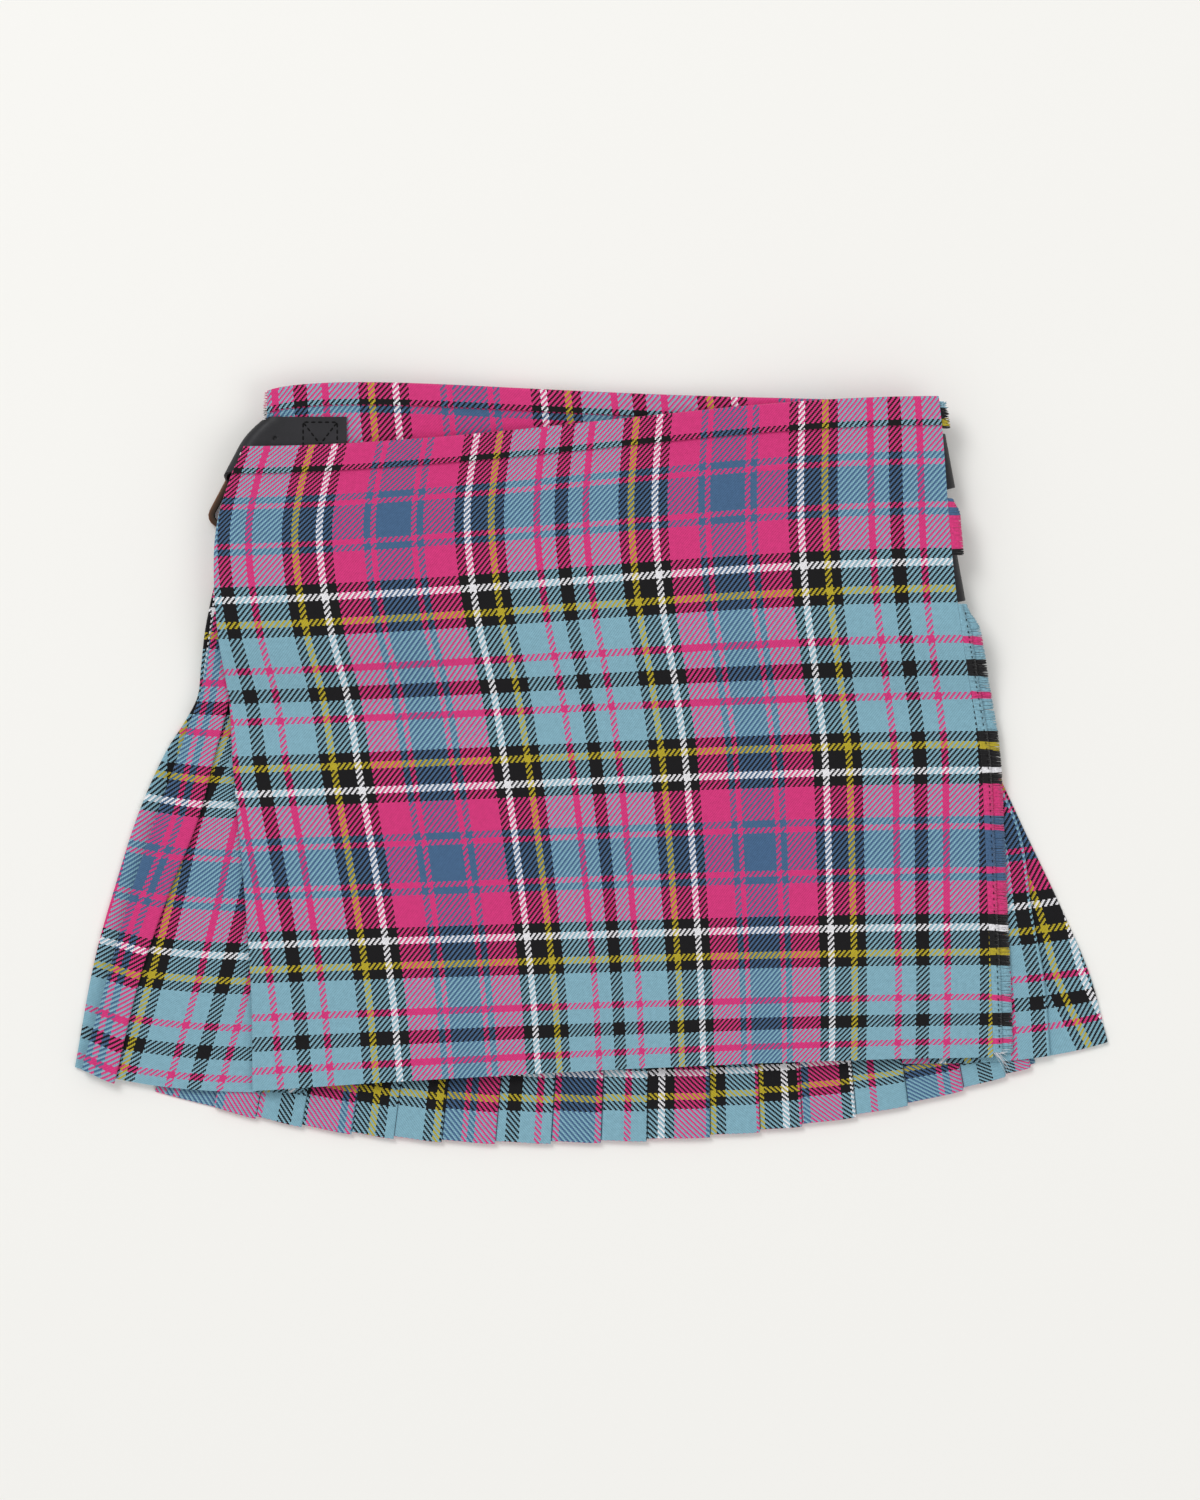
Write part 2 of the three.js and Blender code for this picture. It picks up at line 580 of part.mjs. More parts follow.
// The leather tab that holds a buckle: a loop round the frame's inner bar, then a tail sewn to the cloth.
function buckleTab() {
  const width = 22;
  const inside = FRAME_BAR / 2 + GAP;
  const outside = inside + TAB_LEATHER;
  const loopX = INNER_BAR_X + GAP;
  const shortLeaf = INNER_BAR_X - 9;
  const tail = INNER_BAR_X - 23;
  const steps = 6;
  const arc = (radius, i) => {
    const angle = Math.PI / 2 - (Math.PI * i) / steps;
    return [loopX + radius * Math.cos(angle), FRAME_BAR / 2 + radius * Math.sin(angle)];
  };
  const turns = Array.from({ length: steps + 1 }, (_, i) => i);
  const middle = FRAME_BAR / 2;
  const profile = [
    [tail, middle + inside],
    ...turns.map((i) => arc(inside, i)),
    [shortLeaf, middle - inside],
    [shortLeaf, middle - outside],
    ...turns.map((i) => arc(outside, steps - i)),
    [tail, middle + outside],
  ];
  const shape = new THREE.Shape(profile.map((p) => new THREE.Vector2(...p)));
  const solid = new THREE.ExtrudeGeometry(shape, { depth: width, bevelEnabled: false, steps: 1 });
  solid.rotateX(Math.PI / 2);
  solid.translate(0, width / 2, 0);
  const slotStart = INNER_BAR_X - 3.4;
  const slotEnd = loopX + outside + 1;
  const slot = new THREE.BoxGeometry(slotEnd - slotStart, 2.8, 20);
  slot.translate((slotStart + slotEnd) / 2, 0, 0);
  return asGeometry(asManifold(solid).subtract(asManifold(slot)));
}

// The prong: a bent rod with a ring round the inner bar, its tip resting on the outer bar.
function buckleProng() {
  const rod = 0.6;
  const ringRadius = 2.1;
  const middle = FRAME_BAR / 2;
  const below = -rod - GAP;
  const ring = new THREE.TorusGeometry(ringRadius, rod, 6, 12);
  ring.rotateX(Math.PI / 2);
  ring.translate(INNER_BAR_X, 0, middle);
  const path = new THREE.CatmullRomCurve3([
    new THREE.Vector3(INNER_BAR_X + ringRadius, 0, middle - 0.4),
    new THREE.Vector3(INNER_BAR_X + ringRadius + 3, 0, middle - 1.6),
    new THREE.Vector3(INNER_BAR_X + 9, 0, below),
    new THREE.Vector3(FRAME_HALF.x - 1, 0, below),
  ]);
  const section = new THREE.Shape();
  section.absarc(0, 0, rod, 0, 2 * Math.PI, false);
  const shank = new THREE.ExtrudeGeometry(section, { steps: 8, curveSegments: 4, extrudePath: path });
  return asGeometry(asManifold(ring).add(asManifold(shank)));
}

const LEFT_FOLD = 152.3; // degrees: square to the left side's slanting edge
const RIGHT_STRAP_TURN = 10.5;
const RIGHT_STRAPS = [
  { name: "upper", foldAt: [179.5, 155.5] },
  { name: "lower", foldAt: [183.4, 96.5] },
];
const BUCKLE_IN = 24; // a right buckle's middle lies this far in from its strap's fold
const LEFT_BUCKLE = { x: -180.5, y: 139.5 };

const skirt = new THREE.Group();

function add(name, geometry, { color, roughness = 0.9, metalness = 0 }, place = {}) {
  const mesh = new THREE.Mesh(geometry, new THREE.MeshStandardMaterial({ color, roughness, metalness }));
  mesh.name = name;
  const { x = 0, y = 0, z = 0, turn = 0 } = place;
  mesh.position.set(x, y, z);
  mesh.rotation.z = THREE.MathUtils.degToRad(turn);
  skirt.add(mesh);
}

const WOOL_PINK = { color: 0xd83a7c };
const WOOL_BLUE = { color: 0x82aebb };
const BLACK_LEATHER = { color: 0x2f2e34, roughness: 0.55 };
const DARK_METAL = { color: 0x3a322b, roughness: 0.35, metalness: 0.9 };

function addBuckle(name, place) {
  const placed = { ...place, z: FRAME_Z };
  add(`${name}_buckle_frame`, buckleFrame(), DARK_METAL, placed);
  add(`${name}_buckle_prong`, buckleProng(), DARK_METAL, placed);
  add(`${name}_buckle_tab`, buckleTab(), BLACK_LEATHER, placed);
}

add("over_apron", overApron(), WOOL_PINK);
add("under_apron", underApron(), WOOL_BLUE);
add("back_pleats", backPleats(), WOOL_BLUE);
add("left_side_pleats", leftSidePleats(), WOOL_PINK);
add("right_side_pleats", rightSidePleats(), WOOL_BLUE);
add("over_apron_waistband", apronWaistband(), WOOL_PINK);
add("under_apron_waistband", underWaistband(), WOOL_PINK);
add("back_waistband", backWaistband(), WOOL_PINK);

add("fringe_top_layer", fringe({ from: 107, to: 333, reach: 3.2 }), WOOL_BLUE);
add("fringe_under_layer", fringe({ from: 107, to: 333, reach: 8.6, drop: LAYER + GAP }), WOOL_BLUE);
add("hip_fringe", fringe({ from: 53, to: 79, reach: 4.8 }), WOOL_PINK);
add("waistband_fringe", fringe({ from: 3, to: 16, reach: 2.2 }), WOOL_BLUE);

const innerStrap = { heading: 180, out: LEFT_FOLD, foldAt: [-175.5, 165], front: 48.5, tail: 8 };
add("inner_strap", foldedStrap({ ...innerStrap, upper: INNER_STRAP_ABOVE, lower: STRAP_BELOW }), BLACK_LEATHER);
addBuckle("left", { ...LEFT_BUCKLE, turn: LEFT_FOLD });

for (const { name, foldAt } of RIGHT_STRAPS) {
  const route = { heading: RIGHT_STRAP_TURN, out: RIGHT_STRAP_TURN, foldAt, front: 30, tail: 28 };
  add(`${name}_strap`, foldedStrap({ ...route, upper: STRAP_ABOVE, lower: STRAP_BELOW }), BLACK_LEATHER);
  const turn = THREE.MathUtils.degToRad(RIGHT_STRAP_TURN);
  const x = foldAt[0] - BUCKLE_IN * Math.cos(turn);
  const y = foldAt[1] - BUCKLE_IN * Math.sin(turn);
  addBuckle(name, { x, y, turn: RIGHT_STRAP_TURN });
}

export default skirt;
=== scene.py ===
"""A woollen wrap mini skirt cut like a short kilt, laid flat on its pleated back.

Lengths in the tables and fields are millimetres; meshes are written in metres, in the frame's own
coordinates. +X runs across the skirt, +Y from the hem to the waist and +Z up off the surface.
Every piece of cloth is a list of sections, each a row of points that carry their place in the weave.
"""

from __future__ import annotations

import json
import logging
import math
import random
from abc import ABC, abstractmethod
from dataclasses import dataclass, field
from enum import Enum
from functools import lru_cache
from typing import NamedTuple, Sequence

import bpy
from mathutils import Matrix, Vector

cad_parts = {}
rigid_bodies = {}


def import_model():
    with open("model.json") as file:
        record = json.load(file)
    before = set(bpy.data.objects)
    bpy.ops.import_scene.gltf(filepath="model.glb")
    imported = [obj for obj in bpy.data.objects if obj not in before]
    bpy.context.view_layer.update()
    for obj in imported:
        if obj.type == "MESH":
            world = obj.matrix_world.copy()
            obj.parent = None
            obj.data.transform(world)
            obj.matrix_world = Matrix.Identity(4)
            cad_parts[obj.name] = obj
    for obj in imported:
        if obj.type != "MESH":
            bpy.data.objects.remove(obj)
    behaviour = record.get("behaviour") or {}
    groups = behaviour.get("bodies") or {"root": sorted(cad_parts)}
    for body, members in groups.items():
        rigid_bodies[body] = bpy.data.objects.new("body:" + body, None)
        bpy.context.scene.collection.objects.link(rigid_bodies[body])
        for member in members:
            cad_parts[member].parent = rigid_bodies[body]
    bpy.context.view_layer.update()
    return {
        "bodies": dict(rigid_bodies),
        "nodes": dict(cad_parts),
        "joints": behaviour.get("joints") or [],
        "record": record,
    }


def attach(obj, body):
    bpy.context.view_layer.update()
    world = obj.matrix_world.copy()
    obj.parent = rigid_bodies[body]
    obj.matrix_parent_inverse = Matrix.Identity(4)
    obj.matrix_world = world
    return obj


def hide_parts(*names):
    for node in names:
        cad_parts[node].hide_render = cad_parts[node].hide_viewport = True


LOG = logging.getLogger("skirt")

MM = 0.001  # metres in a millimetre
BODY = "root"  # the one body that every piece rides on
WEAVE = "weave"  # the UV map that holds each point's place in the weave, in metres

CLOTH = 1.0  # thickness of the woollen cloth
GAP = 0.3  # clearance between neighbouring layers
LAYER = CLOTH + GAP  # height from one layer's middle to the next one's
BACK_TOP = 2 * LAYER + CLOTH  # top of the pleated back, which lies three layers deep
TUCKED = 2.4  # a panel's top edge ends this far below the top of its waistband
SAME_PLACE = 0.01  # places nearer than this are one

HIP_LIFT = 6.1  # the cloth stands this high over the buckles at the hips
HIP_INNER = 24.0  # distance from the middle where the cloth starts to rise
HIP_WIDTH = 94.0  # distance over which it rises towards the side
HIP_LOW = 24.0  # y where it starts to rise towards the waist
HIP_LENGTH = 48.0  # distance over which it rises towards the waist
WAIST_LOW = 20.0  # y where the aprons start to rise over the waistbands
WAIST_LENGTH = 55.0  # distance over which they rise
FOLD_FOOT = -160.0  # y at which a soft fold's place is given
FAN_POWER = 3  # how steeply a side pleat's rise and its hem's drop grow

STRAP_LEATHER = 1.6  # thickness of the straps
STRAP_WIDTH = 28.6  # a strap of 1 1/8 inch

YARN_SHADE = 80.0  # degrees: flatter edges of yarn and thread are shaded smooth


class ClothPoint(NamedTuple):
    """A point of a cloth's middle surface, in mm, and its place in the weave, in mm."""

    x: float
    y: float
    z: float
    across: float
    down: float


Section = list[ClothPoint]


def smooth(value: float) -> float:
    """Return an S-shaped step from 0 at 0 to 1 at 1."""
    t = min(1.0, max(0.0, value))
    return t * t * (3.0 - 2.0 * t)


def mix(start: float, end: float, share: float) -> float:
    """Return the value that lies a share of the way from start to end."""
    return start + (end - start) * share


def spread(first: float, last: float, count: int) -> list[float]:
    """Return evenly spread values, with both ends."""
    return [mix(first, last, i / (count - 1)) for i in range(count)]


@lru_cache(maxsize=None)
def curve(keys: tuple[float, ...], values: tuple[float, ...], at: float) -> float:
    """Return a smooth curve's value through given points.

    Args:
        keys: Places along the curve, rising.
        values: The curve's value at each key.
        at: The place to read it at. Past an end it goes on straight.

    Returns:
        The value, by a cubic piece between the two nearest keys.
    """
    last = len(keys) - 1
    i = min(last - 1, max(0, next((k for k in range(last) if keys[k + 1] >= at), last - 1)))
    slopes = [(values[k + 1] - values[k]) / (keys[k + 1] - keys[k]) for k in range(last)]

    def tangent(k: int) -> float:
        """Return the curve's slope at a key."""
        if k == 0:
            return slopes[0]
        if k == last:
            return slopes[-1]
        return 0.5 * (slopes[k - 1] + slopes[k])

    width = keys[i + 1] - keys[i]
    t = (at - keys[i]) / width
    if t > 1.0:
        return values[last] + tangent(last) * (at - keys[last])
    if t < 0.0:
        return values[0] + tangent(0) * (at - keys[0])
    rise = (2 * t**3 - 3 * t**2 + 1) * values[i] + (3 * t**2 - 2 * t**3) * values[i + 1]
    lean = (t**3 - 2 * t**2 + t) * tangent(i) + (t**3 - t**2) * tangent(i + 1)
    return rise + lean * width


def hip_lift(x: float, y: float) -> float:
    """Return how far the cloth is raised by the buckles under the hips."""
    side = smooth((abs(x) - HIP_INNER) / HIP_WIDTH)
    return HIP_LIFT * side * smooth((y - HIP_LOW) / HIP_LENGTH)


def over_waist(y: float) -> float:
    """Return the share, 0 to 1, to which the aprons have risen over the waistbands."""
    return smooth((y - WAIST_LOW) / WAIST_LENGTH)


def select_only(obj: bpy.types.Object) -> None:
    """Select one object and make it active."""
    bpy.ops.object.select_all(action="DESELECT")
    obj.select_set(True)
    bpy.context.view_layer.objects.active = obj


def apply_modifier(obj: bpy.types.Object, kind: str, **settings: object) -> None:
    """Add a modifier to an object and apply it.

    Args:
        obj: The object to change.
        kind: The modifier's type, such as SOLIDIFY.
        **settings: The modifier's own settings.
    """
    select_only(obj)
    modifier = obj.modifiers.new(kind.lower(), kind)
    for name, value in settings.items():
        setattr(modifier, name, value)
    bpy.ops.object.modifier_apply(modifier=modifier.name)


def shade(obj: bpy.types.Object, degrees: float = 50.0) -> None:
    """Shade an object smooth, apart from edges sharper than an angle."""
    select_only(obj)
    bpy.ops.object.shade_smooth_by_angle(angle=math.radians(degrees))


def round_edges(obj: bpy.types.Object, width: float = 0.45) -> None:
    """Round an object's sharp edges by a width in mm, and shade it to suit."""
    apply_modifier(
        obj, "BEVEL", width=width * MM, segments=3, limit_method="ANGLE", angle_limit=math.radians(50)
    )
    shade(obj, 40.0)


def cloth_sheet(name: str, sections: Sequence[Section], thickness: float = CLOTH) -> bpy.types.Object:
    """Make a cloth wall through sections from a grid.

    Args:
        name: The new object's name.
        sections: Rows with the same number of points each.
        thickness: The cloth's thickness in mm.

    Returns:
        The closed wall, whose UV map holds its place in the weave in metres.
    """
    rows, columns = len(sections), len(sections[0])
    bpy.ops.object.select_all(action="DESELECT")
    bpy.ops.mesh.primitive_grid_add(x_subdivisions=columns - 1, y_subdivisions=rows - 1, size=1)
    sheet = bpy.context.object
    sheet.name = name
    points = [point for section in sections for point in section]
    for vertex, point in zip(sheet.data.vertices, points, strict=True):
        vertex.co = Vector(point[:3]) * MM
    weave = sheet.data.uv_layers[0]
    weave.name = WEAVE
    for loop in sheet.data.loops:
        point = points[loop.vertex_index]
        weave.data[loop.index].uv = (point.across * MM, point.down * MM)
    sheet.data.update()
    up = sum(face.normal.z * face.area for face in sheet.data.polygons)
    if up < 0:
        sheet.data.flip_normals()
    apply_modifier(sheet, "SOLIDIFY", thickness=thickness * MM, offset=0.0, use_even_offset=True)
    shade(sheet)
    return sheet


def cut_size(sections: Sequence[Section]) -> tuple[float, float, float]:
    """Return the width, length and area in metres that a sheet was cut to before it was folded.

    Args:
        sections: The sections that it is made through.

    Returns:
        The width of its widest section, the length of its longest line down, and the area.
    """
    measured_lines = 40

    def run(line: Sequence[ClothPoint]) -> float:
        """Return a line's length in metres."""
        places = [Vector(point[:3]) for point in line]
        return sum((b - a).length for a, b in zip(places, places[1:])) * MM

    widths = [run(section) for section in sections]
    every = max(1, len(sections[0]) // measured_lines)
    length = max(run(line) for line in list(zip(*sections))[::every])
    area = sum(widths) / len(sections) * length
    return max(widths), length, min(area, max(widths) * length)


class Dye(Enum):
    """The yarn colours, as sRGB hex values."""

    TURQUOISE = "84B0C0"
    PINK = "D6397C"
    BLUE = "47678B"
    WHITE = "EAE9EC"
    BLACK = "161517"
    YELLOW = "B8A62B"


def linear(hex_colour: str) -> tuple[float, float, float, float]:
    """Turn an sRGB hex colour into linear red, green, blue and a full alpha."""

    def channel(text: str) -> float:
        """Return one channel's linear value."""
        value = int(text, 16) / 255.0
        return value / 12.92 if value <= 0.04045 else ((value + 0.055) / 1.055) ** 2.4

    red, green, blue = (channel(hex_colour[i : i + 2]) for i in (0, 2, 4))
    return (red, green, blue, 1.0)


def fineness(size: float) -> float:
    """Return the texture scale at which a pattern's features are about a size in mm."""
    return 1.0 / (size * MM)


Socket = bpy.types.NodeSocket
Source = float | tuple[float, ...] | Socket | bpy.types.Node

# A Mix node has inputs and outputs for numbers, vectors and colours. These are the ones used here.
NUMBER_A, NUMBER_B = 2, 3
COLOUR_A, COLOUR_B, MIXED_COLOUR = 6, 7, 2


class NodeTree:
    """A material's node tree, with one way to add a node."""

    def __init__(self, name: str) -> None:
        """Start a material of the given name with an empty tree."""
        self.material = bpy.data.materials.new(name)
        self.material.use_nodes = True
        self.tree = self.material.node_tree
        self.tree.nodes.clear()

    def add(
        self, kind: str, *values: Source, inputs: dict[int | str, Source] | None = None, **settings: object
    ) -> bpy.types.Node:
        """Add a node with its settings and links.

        Args:
            kind: The node's type name without its ShaderNode prefix.
            *values: What its first inputs get, in order: a value, an output socket, or a node, which
                stands for its own first output.
            inputs: What other inputs get, by name or index.
            **settings: The node's own settings.

        Returns:
            The new node.
        """
        node = self.tree.nodes.new("ShaderNode" + kind)
        for name, value in settings.items():
            setattr(node, name, value)
        for key, value in (dict(enumerate(values)) | (inputs or {})).items():
            source = value.outputs[0] if isinstance(value, bpy.types.Node) else value
            if isinstance(source, Socket):
                self.tree.links.new(source, node.inputs[key])
            else:
                node.inputs[key].default_value = source
        return node


@dataclass(frozen=True)
class Sett:
    """The order of the colours in a tartan of the usual mirrored kind, with each stripe's width.

    The same half is woven forwards and then backwards, across the cloth and down it.
    """

    half: tuple[tuple[Dye, float], ...] = (
        (Dye.BLUE, 9.0),
        (Dye.PINK, 3.0),
        (Dye.BLUE, 4.0),
        (Dye.PINK, 16.5),
        (Dye.BLACK, 5.0),
        (Dye.WHITE, 3.5),
        (Dye.BLACK, 9.0),
        (Dye.YELLOW, 3.5),
        (Dye.BLACK, 5.5),
        (Dye.TURQUOISE, 16.0),
        (Dye.PINK, 3.5),
        (Dye.TURQUOISE, 7.5),
        (Dye.BLACK, 4.0),
    )

    def colour_at(self, tree: NodeTree, place: Source) -> bpy.types.Node:
        """Add nodes that give the yarn's colour at a place across the sett.

        Args:
            tree: The material's tree.
            place: A length in metres.

        Returns:
            The node whose first output is the colour.
        """
        half_width = sum(width for _, width in self.half)
        folded = tree.add("Math", place, half_width * MM, operation="PINGPONG")
        share = tree.add("Math", folded, half_width * MM, operation="DIVIDE")
        ramp = tree.add("ValToRGB", share)
        ramp.color_ramp.interpolation = "CONSTANT"
        stops = ramp.color_ramp.elements
        given = len(stops)
        along = 0.0
        for i, (dye, width) in enumerate(self.half):
            stop = stops[i] if i < given else stops.new(along / half_width)
            stop.position = along / half_width
            stop.color = linear(dye.value)
            along += width
        return ramp


@dataclass(frozen=True)
class TwillTartan:
    """Worsted wool tartan woven in a 2/2 twill.

    Each yarn floats over two and under two, one step along at each pick, which gives the eye fine
    diagonal lines of the two colours. The matt, slightly hairy wool has a soft sheen.
    """

    name: str = "tartan_wool_twill"
    sett: Sett = field(default_factory=Sett)
    # Real yarns lie about 0.47 mm apart, drawn here at 0.72 mm so that the twill lines still show.
    yarn_pitch: float = 0.72
    # Stretches of yarn spun a little lighter or darker, the hairs, and the slow waves of worn cloth.
    slub: float = 2.38
    hair: float = 0.526
    wave: float = 41.7
    furrow_shade: float = 0.70
    # Painted shade in the furrows and painted highlight on the ridges, as shares of the yarn's colour.
    ridge_highlight: float = 1.08
    roughness: float = 0.92
    sheen: float = 0.12

    def build(self) -> bpy.types.Material:
        """Return the material, which reads the weave UV map in metres."""
        tree = NodeTree(self.name)
        weave = tree.add("UVMap", uv_map=WEAVE)
        places = tree.add("SeparateXYZ", weave)
        pitch = self.yarn_pitch * MM
        counts = [tree.add("Math", places.outputs[axis], pitch, operation="DIVIDE") for axis in "XY"]
        yarns = [tree.add("Math", count, operation="FLOOR") for count in counts]
        colours = []
        for yarn in yarns:
            half_on = tree.add("Math", yarn, 0.5, operation="ADD")
            middle = tree.add("Math", half_on, pitch, operation="MULTIPLY")
            colours.append(self.sett.colour_at(tree, middle))

        # The twill repeats every four yarns, and the lengthwise yarn is on top for two of them.
        both_ways = tree.add("Math", *yarns, operation="ADD")
        repeats = tree.add("Math", both_ways, 0.25, operation="MULTIPLY")
        step = tree.add("Math", repeats, operation="FRACT")
        warp_on_top = tree.add("Math", step, 0.5, operation="LESS_THAN")
        crossed = {COLOUR_A: colours[1], COLOUR_B: colours[0]}
        top = tree.add("Mix", warp_on_top, inputs=crossed, data_type="RGBA").outputs[MIXED_COLOUR]

        # The upper yarn is round, and the floats of both ways stand up together in slanting ribs.
        rounds = []
        for count in counts:
            across = tree.add("Math", count, operation="FRACT")
            turn = tree.add("Math", across, math.pi, operation="MULTIPLY")
            rounds.append(tree.add("Math", turn, operation="SINE"))
        height = tree.add("Mix", warp_on_top, inputs={NUMBER_A: rounds[1], NUMBER_B: rounds[0]})
        counted = tree.add("Math", *counts, operation="ADD")
        shifted = tree.add("Math", counted, 1.0, operation="SUBTRACT")
        slant = tree.add("Math", shifted, math.pi / 2, operation="MULTIPLY")
        swing = tree.add("Math", slant, operation="SINE")
        rib = tree.add("Math", swing, operation="ABSOLUTE")

        # Painted shade darkens the furrows between yarns and ribs and a painted highlight lightens their
        # tops, and the tone drifts along each yarn.
        raised = tree.add("Mix", 0.55, inputs={NUMBER_A: height, NUMBER_B: rib})
        shadow = tree.add("MapRange", raised, inputs={"To Min": self.furrow_shade, "To Max": self.ridge_highlight})
        slubs = tree.add("TexNoise", weave, inputs={"Scale": fineness(self.slub), "Detail": 3.0})
        drift = {"From Min": 0.3, "From Max": 0.7, "To Min": 0.93, "To Max": 1.07}
        tone = tree.add("MapRange", slubs, inputs=drift)
        value = tree.add("Math", shadow, tone, operation="MULTIPLY")
        shaded = tree.add("HueSaturation", inputs={"Color": top, "Value": value})

        hairs = tree.add("TexNoise", weave, inputs={"Scale": fineness(self.hair), "Detail": 2.0})
        fuzz = tree.add("Math", hairs, 0.6, operation="MULTIPLY")
        ridges = tree.add("Math", height, rib, operation="ADD")
        relief = tree.add("Math", ridges, fuzz, operation="ADD")
        waves = tree.add("TexNoise", weave, inputs={"Scale": fineness(self.wave), "Detail": 2.0})
        waved = tree.add("Bump", inputs={"Height": waves, "Distance": 2.2 * MM, "Strength": 0.8})
        bump = tree.add(
            "Bump", inputs={"Height": relief, "Distance": 0.14 * MM, "Strength": 0.6, "Normal": waved}
        )
        wool = tree.add(
            "BsdfPrincipled",
            inputs={
                "Base Color": shaded,
                "Roughness": self.roughness,
                "IOR": 1.45,
                "Sheen Weight": self.sheen,
                "Sheen Roughness": 0.5,
                "Specular IOR Level": 0.2,
                "Normal": bump,
            },
        )
        tree.add("OutputMaterial", wool)
        return tree.material


@dataclass(frozen=True)
class FringeYarn:
    """The loose ends of the crosswise yarns, so it has only their colours, with a soft twist."""

    name: str = "tartan_fringe_yarn"
    sett: Sett = field(default_factory=Sett)
    tuft: float = 1.11

    def build(self) -> bpy.types.Material:
        """Return the material, which reads the weave UV map in metres."""
        tree = NodeTree(self.name)
        weave = tree.add("UVMap", uv_map=WEAVE)
        places = tree.add("SeparateXYZ", weave)
        colour = self.sett.colour_at(tree, places.outputs["Y"])
        tufts = tree.add("TexNoise", weave, inputs={"Scale": fineness(self.tuft), "Detail": 2.0})
        uneven = {"From Min": 0.25, "From Max": 0.75, "To Min": 0.72, "To Max": 1.18}
        tone = tree.add("MapRange", tufts, inputs=uneven)
        shaded = tree.add("HueSaturation", inputs={"Color": colour, "Value": tone})
        bump = tree.add("Bump", inputs={"Height": tufts, "Distance": 0.15 * MM, "Strength": 0.7})
        wool = tree.add(
            "BsdfPrincipled",
            inputs={
                "Base Color": shaded,
                "Roughness": 0.95,
                "Sheen Weight": 0.35,
                "Specular IOR Level": 0.2,
                "Normal": bump,
            },
        )
        tree.add("OutputMaterial", wool)
        return tree.material


@dataclass(frozen=True)
class StrapLeather:
    """Full-grain cowhide, dyed black and lightly finished: fine pores, a low gloss and paler worn patches."""

    name: str = "black_full_grain_leather"
    colour: str = "16161A"
    worn: str = "232227"
    # Pores of cowhide lie about 0.6 mm apart.
    pore: float = 0.6
    crease: float = 3.85
    patch: float = 22.2

    def build(self) -> bpy.types.Material:
        """Return the material, which reads Object coordinates."""
        tree = NodeTree(self.name)
        place = tree.add("TexCoord").outputs["Object"]
        pores = tree.add("TexVoronoi", place, inputs={"Scale": fineness(self.pore)}, feature="F1")
        fine = {"Scale": fineness(self.crease), "Detail": 6.0, "Roughness": 0.6}
        creases = tree.add("TexNoise", place, inputs=fine)
        patches = tree.add("TexNoise", place, inputs={"Scale": fineness(self.patch), "Detail": 3.0})
        wear = tree.add("MapRange", patches, inputs={"From Min": 0.4, "From Max": 0.75})
        tones = {COLOUR_A: linear(self.colour), COLOUR_B: linear(self.worn)}
        colour = tree.add("Mix", wear, inputs=tones, data_type="RGBA").outputs[MIXED_COLOUR]
        dimples = tree.add("Math", pores, 0.5, operation="MULTIPLY")
        grain = tree.add("Math", dimples, creases, operation="ADD")
        bump = tree.add("Bump", inputs={"Height": grain, "Distance": 0.12 * MM, "Strength": 0.45})
        gloss = tree.add("MapRange", creases, inputs={"To Min": 0.42, "To Max": 0.62})
        leather = tree.add(
            "BsdfPrincipled",
            inputs={
                "Base Color": colour,
                "Roughness": gloss,
                "IOR": 1.5,
                "Specular IOR Level": 0.35,
                "Normal": bump,
            },
        )
        tree.add("OutputMaterial", leather)
        return tree.material


@dataclass(frozen=True)
class AgedBronze:
    """Bronze plating browned with age: near black on the faces, warm orange where its edges are rubbed."""

    name: str = "aged_bronze_plate"
    dark: str = "3A332C"
    rubbed: str = "9A5A34"
    stain: float = 2.0

    def build(self) -> bpy.types.Material:
        """Return the material, which reads Object coordinates."""
        tree = NodeTree(self.name)
        place = tree.add("TexCoord").outputs["Object"]
        stains = tree.add("TexNoise", place, inputs={"Scale": fineness(self.stain), "Detail": 4.0})
        edges = tree.add("NewGeometry").outputs["Pointiness"]
        rub = tree.add("MapRange", edges, inputs={"From Min": 0.52, "From Max": 0.58})
        tones = {COLOUR_A: linear(self.dark), COLOUR_B: linear(self.rubbed)}
        colour = tree.add("Mix", rub, inputs=tones, data_type="RGBA").outputs[MIXED_COLOUR]
        gloss = tree.add("MapRange", stains, inputs={"To Min": 0.28, "To Max": 0.5})
        bump = tree.add("Bump", inputs={"Height": stains, "Distance": 0.05 * MM, "Strength": 0.3})
        metal = tree.add(
            "BsdfPrincipled",
            inputs={"Base Color": colour, "Metallic": 0.85, "Roughness": gloss, "Normal": bump},
        )
        tree.add("OutputMaterial", metal)
        return tree.material


@dataclass(frozen=True)
class WaxedThread:
    """Waxed polyester sewing thread, black, with a slight shine on each stitch."""

    name: str = "black_waxed_thread"
    colour: str = "09080A"
    twist: float = 0.4

    def build(self) -> bpy.types.Material:
        """Return the material, which reads Object coordinates."""
        tree = NodeTree(self.name)
        place = tree.add("TexCoord").outputs["Object"]
        twists = tree.add("TexNoise", place, inputs={"Scale": fineness(self.twist), "Detail": 1.0})
        bump = tree.add("Bump", inputs={"Height": twists, "Distance": 0.05 * MM, "Strength": 0.5})
        thread = tree.add(
            "BsdfPrincipled",
            inputs={
                "Base Color": linear(self.colour),
                "Roughness": 0.6,
                "Specular IOR Level": 0.15,
                "Normal": bump,
            },
        )
        tree.add("OutputMaterial", thread)
        return tree.material


@dataclass(frozen=True)
class PaperFloor:
    """A seamless paper background, matt and slightly warm."""

    name: str = "pale_backdrop_paper"
    colour: str = "F2F1ED"

    def build(self) -> bpy.types.Material:
        """Return the material."""
        tree = NodeTree(self.name)
        look = {"Base Color": linear(self.colour), "Roughness": 0.9}
        tree.add("OutputMaterial", tree.add("BsdfPrincipled", inputs=look))
        return tree.material


